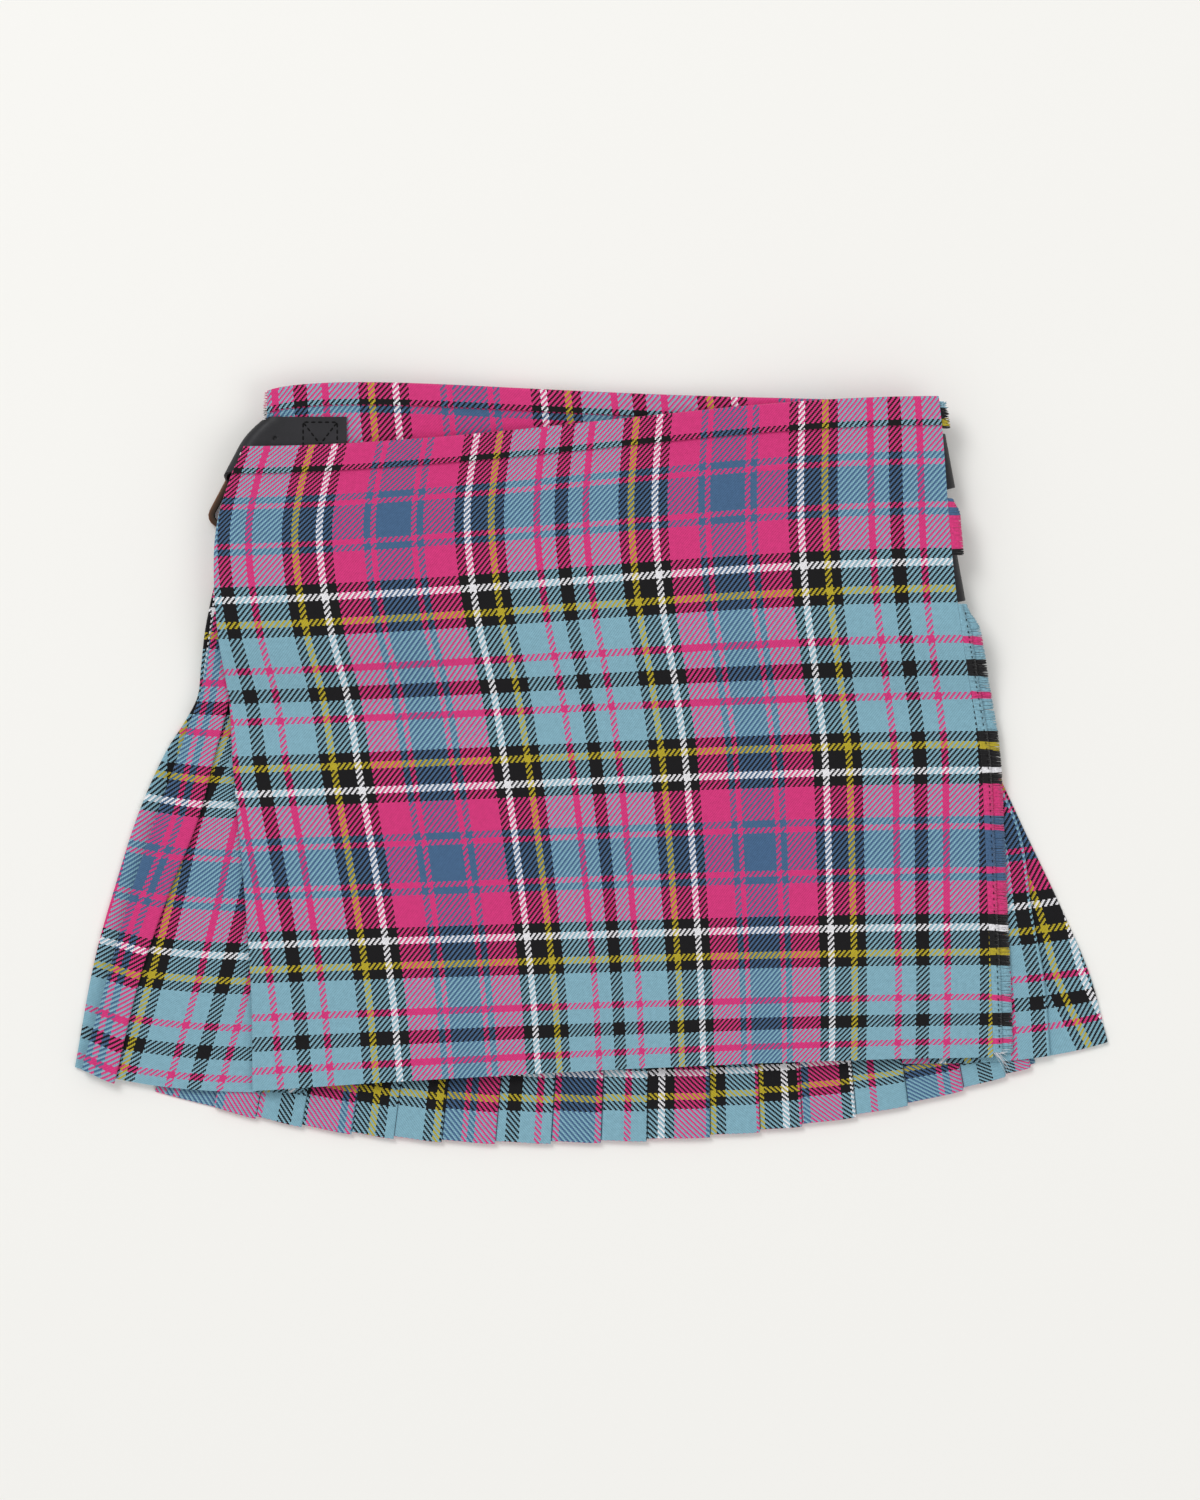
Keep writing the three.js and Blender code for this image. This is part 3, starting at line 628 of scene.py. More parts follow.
@dataclass
class Finishes:
    """The skirt's materials, built once each."""

    tartan: bpy.types.Material
    fringe: bpy.types.Material
    leather: bpy.types.Material
    bronze: bpy.types.Material
    thread: bpy.types.Material

    @classmethod
    def build(cls) -> Finishes:
        """Build every finish."""
        return cls(
            tartan=TwillTartan().build(),
            fringe=FringeYarn().build(),
            leather=StrapLeather().build(),
            bronze=AgedBronze().build(),
            thread=WaxedThread().build(),
        )


class Slot(Enum):
    """The record's material slots."""

    WOOL = "tartan_wool"
    LEATHER = "black_leather"
    BRONZE = "dark_bronze"


def dress(obj: bpy.types.Object, finish: bpy.types.Material) -> None:
    """Give a new piece its finish, and make it ride on the skirt."""
    obj.data.materials.clear()
    obj.data.materials.append(finish)
    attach(obj, BODY)


def cloth_piece(
    node: str,
    sections: Sequence[Section],
    finishes: Finishes,
) -> bpy.types.Object:
    """Args:
        node: The CAD node's name.
        sections: The sections that the sheet is made through.
        finishes: The skirt's materials.

    Returns:
        The new sheet.
    """
    sheet = cloth_sheet(f"{node}_cloth", sections)
    dress(sheet, finishes.tartan)
    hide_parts(node)
    width, length, area = cut_size(sections)
    return sheet


@dataclass(frozen=True)
class ApronLine:
    """A cross line of an apron: how far down the cloth it lies, and where it meets the side edges."""

    down: float
    left_x: float
    left_y: float
    right_x: float
    right_y: float
    bow: float = 0.0


def band_profile(
    height: float, clear: float, leaf_points: int = 9, fold_points: int = 11
) -> list[tuple[float, float]]:
    """Return a waistband's section as distances down and heights off the panel.

    Args:
        height: How far the band comes down the panel.
        clear: Half of the room that the band leaves between its leaves.
        leaf_points: How many points each leaf gets.
        fold_points: How many points the fold gets, with the leaves' two.

    Returns:
        Points from the front leaf's lower edge over the fold to the back leaf's lower edge.
    """
    out = clear + CLOTH / 2
    crown = min(out, CLOTH)
    front = [(down, out) for down in spread(height, CLOTH / 2 + crown, leaf_points)]
    arc = [
        (CLOTH / 2 + crown * (1.0 - math.sin(angle)), out * math.cos(angle))
        for angle in spread(0.0, math.pi, fold_points)[1:-1]
    ]
    return [*front, *arc, *[(down, -side) for down, side in reversed(front)]]


@dataclass
class Apron(ABC):
    """A flat front panel, given by its cross lines, with a waistband folded over its top edge."""

    lines: tuple[ApronLine, ...]
    band_height: float
    # Where the band's own strip of cloth starts in the sett, counted down from the panel's.
    band_weave: float
    # The cloth's nominal width, and where the sett starts at its left edge.
    weave_width: float
    weave_across: float
    columns: int
    rows: int

    @abstractmethod
    def point(self, share: float, down: float) -> ClothPoint:
        """Return a point of the panel.

        Args:
            share: 0 at the left edge to 1 at the right edge.
            down: The distance down the cloth from the top edge.

        Returns:
            The point, with its place in the weave.
        """

    def side(self, name: str, down: float) -> float:
        """Return a side edge's coordinate, or the top edge's bow, at a distance down the cloth."""
        keys = tuple(line.down for line in self.lines)
        return curve(keys, tuple(getattr(line, name) for line in self.lines), down)

    def section(self, down: float) -> Section:
        """Return a section across the panel."""
        return [self.point(share, down) for share in spread(0.0, 1.0, self.columns)]

    def panel_sections(self) -> list[Section]:
        """Return the panel's sections, from inside the waistband to the hem."""
        return [self.section(down) for down in spread(TUCKED, self.lines[-1].down, self.rows)]

    def band_sections(self) -> list[Section]:
        """Return the waistband's sections, a strip folded over the panel's top edge."""
        sections = []
        for down, out in band_profile(self.band_height, CLOTH / 2 + GAP):
            points = [self.point(share, down) for share in spread(0.0, 1.0, self.columns)]
            sections.append([p._replace(z=p.z + out, down=down + self.band_weave) for p in points])
        return sections


@dataclass(frozen=True)
class Fringe:
    """A row of an apron's loose crosswise yarns along a side edge, from a fringe to a little fray.

    It runs from first to last down the edge. Where it is a fringe, it stands for the CAD node of its name.
    """

    name: str
    first: float
    last: float
    reach: float
    at_right: bool = True
    is_node: bool = True
    # Slopes along the edge and downwards, and how far it lies below the apron's middle surface.
    lean: float = -0.04
    droop: float = 0.08
    drop: float = 0.0
    # Yarns lie in two rows, at a pitch that each strays from by a share of it.
    pitch: float = 0.4
    stray: float = 0.35
    row_height: float = 0.3
    thickness: float = 0.85
    weave_down: float = 137.0
    # The fringe grows to its full reach over the swell, and is a share of it long at its ends.
    swell: float = 16.0
    shortest: float = 0.45
    # What unevenness multiplies: how much shorter, more slanting and more curled a yarn may be.
    unevenness: float = 1.0
    trim: float = 0.06
    scatter: float = 0.025
    curl: float = 0.06
    # The yarns lean to and fro along the edge, by a slope and at a rate a millimetre.
    sway: float = 0.05
    sway_rate: float = 0.35
    # A yarn's rings each taper to a share of the one before, the last one more, as its tip.
    sides: int = 5
    rings: int = 5
    ring_taper: float = 0.94
    tip_taper: float = 0.55
    # The yarns start this far outside the panel's edge.
    root_gap: float = 0.1
    # The fringe's ends, where it grows and falls off, lie this far past its first and last yarn.
    head_room: float = 1.5
    foot_room: float = 2.0
    foot_swell: float = 3.0

    def yarn(self) -> list[Vector]:
        """Model one tapered yarn of unit length along Z, and return its points."""
        bpy.ops.object.select_all(action="DESELECT")
        bpy.ops.mesh.primitive_circle_add(vertices=self.sides, radius=0.5, fill_type="NGON")
        yarn = bpy.context.object
        bpy.ops.object.mode_set(mode="EDIT")
        bpy.ops.mesh.select_all(action="SELECT")
        for ring in range(1, self.rings):
            step = 1.0 / (self.rings - 1)
            bpy.ops.mesh.extrude_region_move(TRANSFORM_OT_translate={"value": (0.0, 0.0, step)})
            taper = self.tip_taper if ring == self.rings - 1 else self.ring_taper
            bpy.ops.transform.resize(value=(taper, taper, 1.0))
        bpy.ops.object.mode_set(mode="OBJECT")
        ordered = sorted(yarn.data.vertices, key=lambda v: (round(v.co.z, 3), math.atan2(v.co.y, v.co.x)))
        points = [vertex.co.copy() for vertex in ordered]
        bpy.data.objects.remove(yarn)
        return points

    def faces(self) -> list[tuple[int, ...]]:
        """Return one yarn's faces, by the order of its points."""
        n = self.sides
        walls = [
            (r * n + k, r * n + (k + 1) % n, (r + 1) * n + (k + 1) % n, (r + 1) * n + k)
            for r in range(self.rings - 1)
            for k in range(n)
        ]
        last = (self.rings - 1) * n
        return [tuple(range(n - 1, -1, -1)), *walls, tuple(range(last, last + n))]

    def fullness(self, down: float) -> float:
        """Return the share of its reach that the fringe has at a distance down the edge."""
        from_top = (down - self.first + self.head_room) / self.swell
        from_foot = (self.last + self.foot_room - down) / self.foot_swell
        return mix(self.shortest, 1.0, smooth(max(0.0, min(1.0, from_top, from_foot))))

    def build(self, apron: Apron, finishes: Finishes) -> bpy.types.Object:
        """Make and dress the fringe of an apron."""
        chance = random.Random(self.name)
        yarn, faces = self.yarn(), self.faces()
        points: list[Vector] = []
        weave: list[tuple[float, float]] = []
        polygons: list[tuple[int, ...]] = []
        count = round((self.last - self.first) / self.pitch)
        way = 1.0 if self.at_right else -1.0
        for i in range(count * 2):
            strayed = i // 2 + chance.uniform(-self.stray, self.stray)
            down = mix(self.first, self.last, strayed / count)
            root = apron.point(1.0 if self.at_right else 0.0, down)
            trimmed = 1.0 - self.trim * self.unevenness * chance.random()
            length = self.reach * trimmed * self.fullness(down)
            sway = self.sway * math.sin(down * self.sway_rate)
            lean = sway + chance.gauss(self.lean, self.scatter * self.unevenness)
            curl = chance.uniform(-self.curl, self.curl) * self.unevenness
            middle = root.z - self.drop + (self.row_height if i % 2 else -self.row_height)
            base = len(points)
            for point in yarn:
                t = point.z
                x = root.x + way * (self.root_gap + length * t)
                y = root.y + length * (lean * t + curl * t * t) + point.y * self.thickness
                z = middle - length * self.droop * t * t + point.x * self.thickness
                points.append(Vector((x, y, z)) * MM)
                weave.append(((root.across + way * length * t) * MM, (down + self.weave_down) * MM))
            polygons += [tuple(base + k for k in face) for face in faces]
        mesh = bpy.data.meshes.new(f"{self.name}_yarns")
        mesh.from_pydata(points, [], polygons)
        layer = mesh.uv_layers.new(name=WEAVE)
        for loop in mesh.loops:
            layer.data[loop.index].uv = weave[loop.vertex_index]
        fringe = bpy.data.objects.new(f"{self.name}_yarns", mesh)
        bpy.context.scene.collection.objects.link(fringe)
        shade(fringe, YARN_SHADE)
        dress(fringe, finishes.fringe)
        if self.is_node:
            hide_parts(self.name)
        return fringe


Seam = tuple[Vector, Vector]


def crossed_box(centre: tuple[float, float], size: tuple[float, float], height: float) -> list[Seam]:
    """Return the seams of the crossed box that sews a strap's end down, in mm."""
    (cx, cy), (width, length) = centre, size
    corners = [
        Vector((cx + sx * width / 2, cy + sy * length / 2, height))
        for sx, sy in ((-1, -1), (1, -1), (1, 1), (-1, 1))
    ]
    sides = [(corners[i], corners[(i + 1) % 4]) for i in range(4)]
    return [*sides, (corners[0], corners[2]), (corners[1], corners[3])]


@dataclass
class Stitching:
    """A row of stitches along seams: one stitch is modelled and copied to each place."""

    name: str
    seams: list[Seam]
    slot: Slot
    stitch: float = 2.5
    gap: float = 0.8
    thread: float = 0.9

    def model(self) -> bpy.types.Mesh:
        """Model one stitch along X at the origin."""
        bpy.ops.object.select_all(action="DESELECT")
        bpy.ops.mesh.primitive_uv_sphere_add(segments=8, ring_count=6, radius=0.5 * MM)
        stitch = bpy.context.object
        bpy.ops.transform.resize(value=(self.stitch, self.thread, self.thread))
        bpy.ops.object.transform_apply(location=False, rotation=False, scale=True)
        mesh = stitch.data
        bpy.data.objects.remove(stitch)
        return mesh

    def build(self, finishes: Finishes) -> bpy.types.Object:
        """Make and dress the stitches."""
        model = self.model()
        copies = []
        for start, end in self.seams:
            run = end - start
            count = max(1, round(run.length / (self.stitch + self.gap)))
            turn = run.to_track_quat("X", "Z").to_matrix().to_4x4()
            for i in range(count):
                place = Matrix.Translation((start + run * ((i + 0.5) / count)) * MM)
                mesh = model.copy()
                mesh.transform(place @ turn)
                copy = bpy.data.objects.new(self.name, mesh)
                bpy.context.scene.collection.objects.link(copy)
                copies.append(copy)
        bpy.ops.object.select_all(action="DESELECT")
        for copy in copies:
            copy.select_set(True)
        bpy.context.view_layer.objects.active = copies[0]
        bpy.ops.object.join()
        sewn = bpy.context.object
        sewn.name = self.name
        shade(sewn, YARN_SHADE)
        dress(sewn, finishes.thread)
        return sewn


@dataclass(frozen=True)
class SoftFold:
    """A ridge or a hollow of the over apron that stands at the hem and dies out upwards."""

    x: float
    lean: float
    width: float
    height: float
    top: float

    def at(self, x: float, y: float) -> float:
        """Return the fold's height at a place."""
        away = (x - self.x - self.lean * (y - FOLD_FOOT)) / self.width
        return self.height * math.exp(-away * away) * smooth((self.top - y) / (self.top - FOLD_FOOT))


@dataclass(frozen=True)
class EdgeTurn:
    """A stretch of an edge that turns down by a depth, and fades in and out over two distances."""

    depth: float
    low: float
    fade_in: float
    top: float
    fade_out: float

    def at(self, y: float) -> float:
        """Return how far the edge turns down at a height."""
        return self.depth * smooth((y - self.low) / self.fade_in) * smooth((self.top - y) / self.fade_out)


@dataclass
class OverApron(Apron):
    """The plain front panel, its waistband and its fringed right edge."""

    lines: tuple[ApronLine, ...] = (
        ApronLine(0, -180, 164, 180, 190),
        ApronLine(17, -187, 147, 182, 172),
        ApronLine(42, -194, 123, 184, 146),
        ApronLine(68, -195.5, 98, 186, 119),
        ApronLine(102, -193, 64, 189.8, 83),
        ApronLine(118, -190.5, 48.5, 192.3, 66),
        ApronLine(135, -188, 32, 195.5, 47),
        ApronLine(171, -186, -4, 202, 9),
        ApronLine(213, -182, -46, 204.5, -34),
        ApronLine(249, -179, -82, 206, -72),
        ApronLine(291, -176.5, -124, 208, -114),
        ApronLine(336, -176, -171, 209, -153.5),
    )
    folds: tuple[SoftFold, ...] = (
        SoftFold(47, -0.1, 15, 2.6, 40),
        SoftFold(24, -0.1, 12, -1.1, 20),
        SoftFold(-62, -0.16, 26, 1.6, 60),
        SoftFold(128, -0.06, 22, 1.5, 30),
        SoftFold(185, -0.04, 12, 1.2, -20),
        SoftFold(-150, -0.12, 16, 1.2, 10),
        SoftFold(-168, -0.06, 6, 1.7, 60),
    )
    # Height of the middle surface near the hem, and how much higher it lies over the waistbands.
    rest: float = 8.6
    rise: float = 4.8
    # The left edge turns down over a width, at the hem and where it goes round the hip.
    turn_width: float = 16.0
    turns: tuple[EdgeTurn, ...] = (
        EdgeTurn(1.3, -math.inf, 1.0, 14.0, 30.0),
        EdgeTurn(3.0, 62.0, 34.0, 142.0, 22.0),
    )
    # The hem drops faster than a straight line near its left end.
    hem_curve: float = 1.5
    turned_under: float = 9.0
    turn_points: int = 7
    # How far the crosswise places of the yarns drift from the panel's left edge to its right one.
    drift_shares: tuple[float, ...] = (0.0, 0.1, 0.35, 0.6, 0.8, 1.0)
    drifts: tuple[float, ...] = (28.0, 27.5, 21.0, 4.0, -9.0, -14.0)
    weave_width: float = 385.0
    weave_across: float = 90.0
    weave_down: float = 137.0
    band_height: float = 14.2
    # The band is cut so that a black line runs along its lower edge.
    band_weave: float = 21.0
    fringes: tuple[Fringe, ...] = (
        Fringe("fringe_top_layer", 103, 333, 5.0),
        Fringe("fringe_under_layer", 103, 333, 10.6, drop=LAYER + GAP),
        Fringe("hip_fringe", 51, 79, 6.2, swell=10.0),
        Fringe(
            "fringe_loose_threads",
            330,
            333.4,
            10.0,
            is_node=False,
            lean=-0.75,
            unevenness=9.0,
            weave_down=67.6,
            pitch=0.42,
            swell=2.0,
            thickness=0.3,
        ),
    )
    band_fringe: Fringe = Fringe(
        "waistband_fringe", 3, 16, 4.4, unevenness=5.0, weave_down=115.0, swell=4.0, thickness=0.6
    )
    # The seam that holds the fringe's layers together: from where to where, how far out and how high.
    seam_ends: tuple[float, float] = (106.0, 331.0)
    seam_out: float = 3.4
    seam_height: float = 0.8
    seam_runs: int = 24
    columns: int = 150
    rows: int = 130

    def height(self, x: float, y: float, edge_x: float) -> float:
        """Return the height of the middle surface, which turns down at its left edge round the hip."""
        near_edge = smooth(1.0 - (x - edge_x) / self.turn_width) ** 2
        raised = self.rest + self.rise * over_waist(y) + hip_lift(x, y)
        folded = sum(fold.at(x, y) for fold in self.folds)
        return raised + folded - near_edge * sum(turn.at(y) for turn in self.turns)

    def point(self, share: float, down: float) -> ClothPoint:
        """Return a point of the panel, as Apron says."""
        depth = down / self.lines[-1].down
        hem = 1.0 - (1.0 - min(1.0, share)) ** self.hem_curve
        left_x, right_x = self.side("left_x", down), self.side("right_x", down)
        x = mix(left_x, right_x, share)
        y = mix(self.side("left_y", down), self.side("right_y", down), mix(smooth(share), hem, depth))
        drift = curve(self.drift_shares, self.drifts, share) * depth
        across = share * self.weave_width - drift + self.weave_across
        return ClothPoint(x, y, self.height(x, y, left_x), across, down + self.weave_down)

    def section(self, down: float) -> Section:
        """Return a section across the panel, with its left edge folded under."""
        main = super().section(down)
        edge = main[0]
        radius = LAYER / 2
        folded = [
            edge._replace(
                x=edge.x + radius - radius * math.sin(angle),
                z=edge.z - radius - radius * math.cos(angle),
                across=edge.across - radius * (math.pi - angle),
            )
            for angle in spread(0.0, math.pi, self.turn_points)
        ]
        inner = folded[0]
        far = inner._replace(x=inner.x + self.turned_under, across=inner.across - self.turned_under)
        return [far, *folded, *main[2:]]

    def fringe_seam(self) -> list[Seam]:
        """Return the seam that holds the fringe's layers together, in mm."""
        roots = [self.point(1.0, down) for down in spread(*self.seam_ends, self.seam_runs + 1)]
        line = [Vector((root.x + self.seam_out, root.y, root.z + self.seam_height)) for root in roots]
        return list(zip(line, line[1:]))

    def build(self, finishes: Finishes) -> list[bpy.types.Object]:
        """Make and dress the panel, its waistband and its fringes."""
        edge = [fringe.build(self, finishes) for fringe in self.fringes]
        stitches = Stitching(
            "fringe_stitching", self.fringe_seam(), Slot.WOOL, stitch=1.5, gap=1.5, thread=0.5
        )
        edge.append(stitches.build(finishes))
        tuft = self.band_fringe.build(self, finishes)
        panel = cloth_piece(
            "over_apron", self.panel_sections(), finishes
        )
        band = cloth_piece(
            "over_apron_waistband", self.band_sections(), finishes
        )
        return [panel, band, *edge, tuft]


@dataclass
class UnderApron(Apron):
    """The panel below the front one: its waistband and a strip of its cloth show at the waist."""

    lines: tuple[ApronLine, ...] = (
        ApronLine(0, -168, 193, 176, 187.5, 5.3),
        ApronLine(13, -168.5, 180, 176.5, 174.5, 5.3),
        ApronLine(73, -169, 120, 177.5, 118, 2.6),
        ApronLine(121, -169, 72, 178, 72),
        ApronLine(157, -168, 36, 184, 36),
        ApronLine(253, -167, -60, 189, -58),
        ApronLine(343, -166, -150, 192, -146),
    )
    # A power under 1 brings the bow's highest point towards the left edge.
    bow_power: float = 0.4
    # Height of the middle surface near the hem, and how much higher it lies over the back's waistband.
    rest: float = 6.2
    rise: float = 2.5
    weave_width: float = 352.0
    weave_across: float = 73.0
    # The lengthwise yarns lean, by a slope.
    weave_lean: float = 0.1
    band_height: float = 11.6
    band_weave: float = 23.6
    fray: Fringe = Fringe(
        "under_apron_fray",
        1,
        17,
        2.0,
        at_right=False,
        is_node=False,
        unevenness=7.0,
        pitch=0.7,
        weave_down=23.6,
        swell=3.0,
        thickness=0.28,
    )
    columns: int = 110
    rows: int = 90

    def point(self, share: float, down: float) -> ClothPoint:
        """Return a point of the panel, as Apron says."""
        bow = self.side("bow", down) * math.sin(math.pi * share**self.bow_power) ** 2
        x = mix(self.side("left_x", down), self.side("right_x", down), share)
        y = mix(self.side("left_y", down), self.side("right_y", down), share) + bow
        z = self.rest + self.rise * over_waist(y) + hip_lift(x, y)
        across = share * self.weave_width - self.weave_lean * down + self.weave_across
        return ClothPoint(x, y, z, across, down)

    def build(self, finishes: Finishes) -> list[bpy.types.Object]:
        """Make and dress the panel, its waistband and the fray at its left edge."""
        fray = self.fray.build(self, finishes)
        panel = cloth_piece(
            "under_apron", self.panel_sections(), finishes
        )
        band = cloth_piece(
            "under_apron_waistband", self.band_sections(), finishes
        )
        return [panel, band, fray]


Stop = tuple[float, float]


def folded_route(stops: Sequence[Stop], run_points: int, corner_points: int = 3) -> list[Stop]:
    """Round the corners of a folded section and fill in its straight runs.

    Args:
        stops: Places and layers along the section. Two stops at one place are a fold or a step.
        run_points: How many points each straight run gets.
        corner_points: How many points each quarter turn gets.

    Returns:
        Places and layers, as many for every section with stops of the same kind.
    """
    radius = LAYER / 2
    angles = [0.5 * math.pi * k / corner_points for k in range(1, corner_points + 1)]
    route: list[Stop] = []
    for i, ((x, layer), (next_x, next_layer)) in enumerate(zip(stops, stops[1:])):
        if layer == next_layer:
            way = math.copysign(1.0, next_x - x)
            start = x + way * radius if i > 0 else x
            end = next_x - way * radius if i + 2 < len(stops) else next_x
            route += [(place, layer) for place in spread(start, end, run_points)]
            continue
        before = math.copysign(1.0, x - stops[i - 1][0])
        after = math.copysign(1.0, stops[i + 2][0] - x)
        rise = math.copysign(0.5, next_layer - layer)
        turn_in = [
            (x - before * radius * (1.0 - math.sin(a)), layer + rise * (1.0 - math.cos(a))) for a in angles
        ]
        turn_out = [
            (x + after * radius * (1.0 - math.cos(a)), next_layer - rise * (1.0 - math.sin(a)))
            for a in angles
        ]
        # The turns meet where the layers are neighbours. Otherwise a straight piece lies between them.
        are_neighbours = abs(next_layer - layer) == 1
        middle = [] if are_neighbours else [(x, next_layer - rise)]
        route += [*turn_in, *middle, *turn_out[:-1]]
    return route


@dataclass(frozen=True)
class SideRow:
    """A section of the side pleats. See SidePleats for what its places mean."""

    y: float
    rise: float
    recess: float
    tuck: float
    front: float
    roll: float
    join: float
    outer: float


def side_row_at(rows: Sequence[SideRow], y: float) -> SideRow:
    """Return the section at a height, between the given ones."""
    ordered = sorted(rows, key=lambda row: row.y)
    keys = tuple(row.y for row in ordered)
    names = ("rise", "recess", "tuck", "front", "roll", "join", "outer")
    values = {name: curve(keys, tuple(getattr(row, name) for row in ordered), y) for name in names}
    return SideRow(y=y, **values)


@dataclass
class SidePleats:
    """The pleats that fan out past the over apron on one side.

    The cloth runs out from its recess under the apron. On the left it is tucked back under its own front
    pleat and rolled round the side; on the right it is folded once. Its outer edge joins the back.
    """

    name: str
    rows: tuple[SideRow, ...]
    has_tuck: bool
    # Where the sett starts at the front fold, across the cloth and down it.
    across: float
    weave_down: float
    # How much lower the front pleat hangs at the hem.
    hem_drop: float = 2.6
    count: int = 64
    run_points: int = 12

    def stops(self, row: SideRow) -> list[Stop]:
        """Return the places and layers along one section."""
        if self.has_tuck:
            front = [
                (row.recess, 3),
                (row.tuck, 3),
                (row.tuck, 4),
                (row.front, 4),
                (row.front, 5),
                (row.roll, 5),
                (row.roll, 2),
            ]
            inner = row.join - LAYER
        else:
            front = [(row.recess, 3), (row.front, 3), (row.front, 2)]
            inner = row.join + LAYER
        return [*front, (inner, 2), (inner, 1), (row.outer, 1), (row.outer, 0), (row.join, 0)]

    @staticmethod
    def place(row: SideRow, x: float, layer: float) -> tuple[float, float, float]:
        """Return where a section lies at a place and a layer."""
        share = abs(x - row.recess) / abs(row.outer - row.recess)
        y = row.y + row.rise * share**FAN_POWER
        return x, y, CLOTH / 2 + layer * LAYER + hip_lift(x, y)

    def section(self, y: float) -> Section:
        """Return the section at a height, measured across the weave from its front fold."""
        row = side_row_at(self.rows, y)
        route = folded_route(self.stops(row), self.run_points)
        top, foot = self.rows[0].y, self.rows[-1].y
        low = self.hem_drop * ((top - y) / (top - foot)) ** FAN_POWER
        placed = []
        for x, layer in route:
            px, py, pz = self.place(row, x, layer)
            share = (x - row.roll) / (row.front - row.roll)
            placed.append((px, py - low * smooth(share) * smooth(layer - 3.0), pz))
        lengths = [0.0]
        for (x0, _, z0), (x1, _, z1) in zip(placed, placed[1:]):
            lengths.append(lengths[-1] + math.hypot(x1 - x0, z1 - z0))
        front = next(i for i, (x, _) in enumerate(route) if abs(x - row.front) < SAME_PLACE)
        way = -1.0 if self.has_tuck else 1.0
        return [
            ClothPoint(*place, self.across + way * (length - lengths[front]), top - y + self.weave_down)
            for place, length in zip(placed, lengths)
        ]

    def build(self, finishes: Finishes) -> bpy.types.Object:
        """Make and dress the pleats."""
        sections = [self.section(y) for y in spread(self.rows[0].y, self.rows[-1].y, self.count)]
        return cloth_piece(self.name, sections, finishes)


LEFT_ROWS = (
    SideRow(150, 0, -150, -173, -166, -176, -158, -178),
    SideRow(110, 0, -150, -186, -178, -189, -166, -191),
    SideRow(72, 0, -150, -193, -183, -196.5, -173, -200),
    SideRow(48, 0, -150, -197.5, -186.5, -200.5, -177, -203),
    SideRow(34, 0, -150, -200, -188.5, -203.5, -179.5, -204.8),
    SideRow(20, 1, -150, -204, -192, -208.5, -182, -211.5),
    SideRow(3, 3, -150, -209.5, -196.5, -214, -186, -221),
    SideRow(-30, 5, -150, -221, -205, -225.5, -194, -235),
    SideRow(-69, 7, -150, -233, -220, -238, -203, -247),
    SideRow(-110, 9, -150, -245, -234, -249, -213, -258),
    SideRow(-172, 13, -150, -261, -248.8, -265, -228, -268.8),
)

RIGHT_ROWS = (
    SideRow(150, 0, 140, 0, 173, 0, 158, 174),
    SideRow(110, 0, 140, 0, 175, 0, 163, 176.5),
    SideRow(72, 0, 142, 0, 178, 0, 167.5, 180.5),
    SideRow(48, 0, 145, 0, 184, 0, 173, 187),
    SideRow(34, 0, 146, 0, 189, 0, 178, 192.5),
    SideRow(18, 1, 148, 0, 196, 0, 184, 200),
    SideRow(0, 2, 150, 0, 205, 0, 191, 208),
    SideRow(-36, 3, 155, 0, 222, 0, 202, 224),
    SideRow(-80, 5, 158, 0, 229, 0, 214, 244),
    SideRow(-116, 6, 160, 0, 235.4, 0, 222, 259),
    SideRow(-157, 11, 162, 0, 238.5, 0, 232, 268.8),
)


@dataclass(frozen=True)
class BackEnds:
    """Where a section of the pleated back ends at each side."""

    left: float
    right: float
    left_y: float
    right_y: float
    share: float


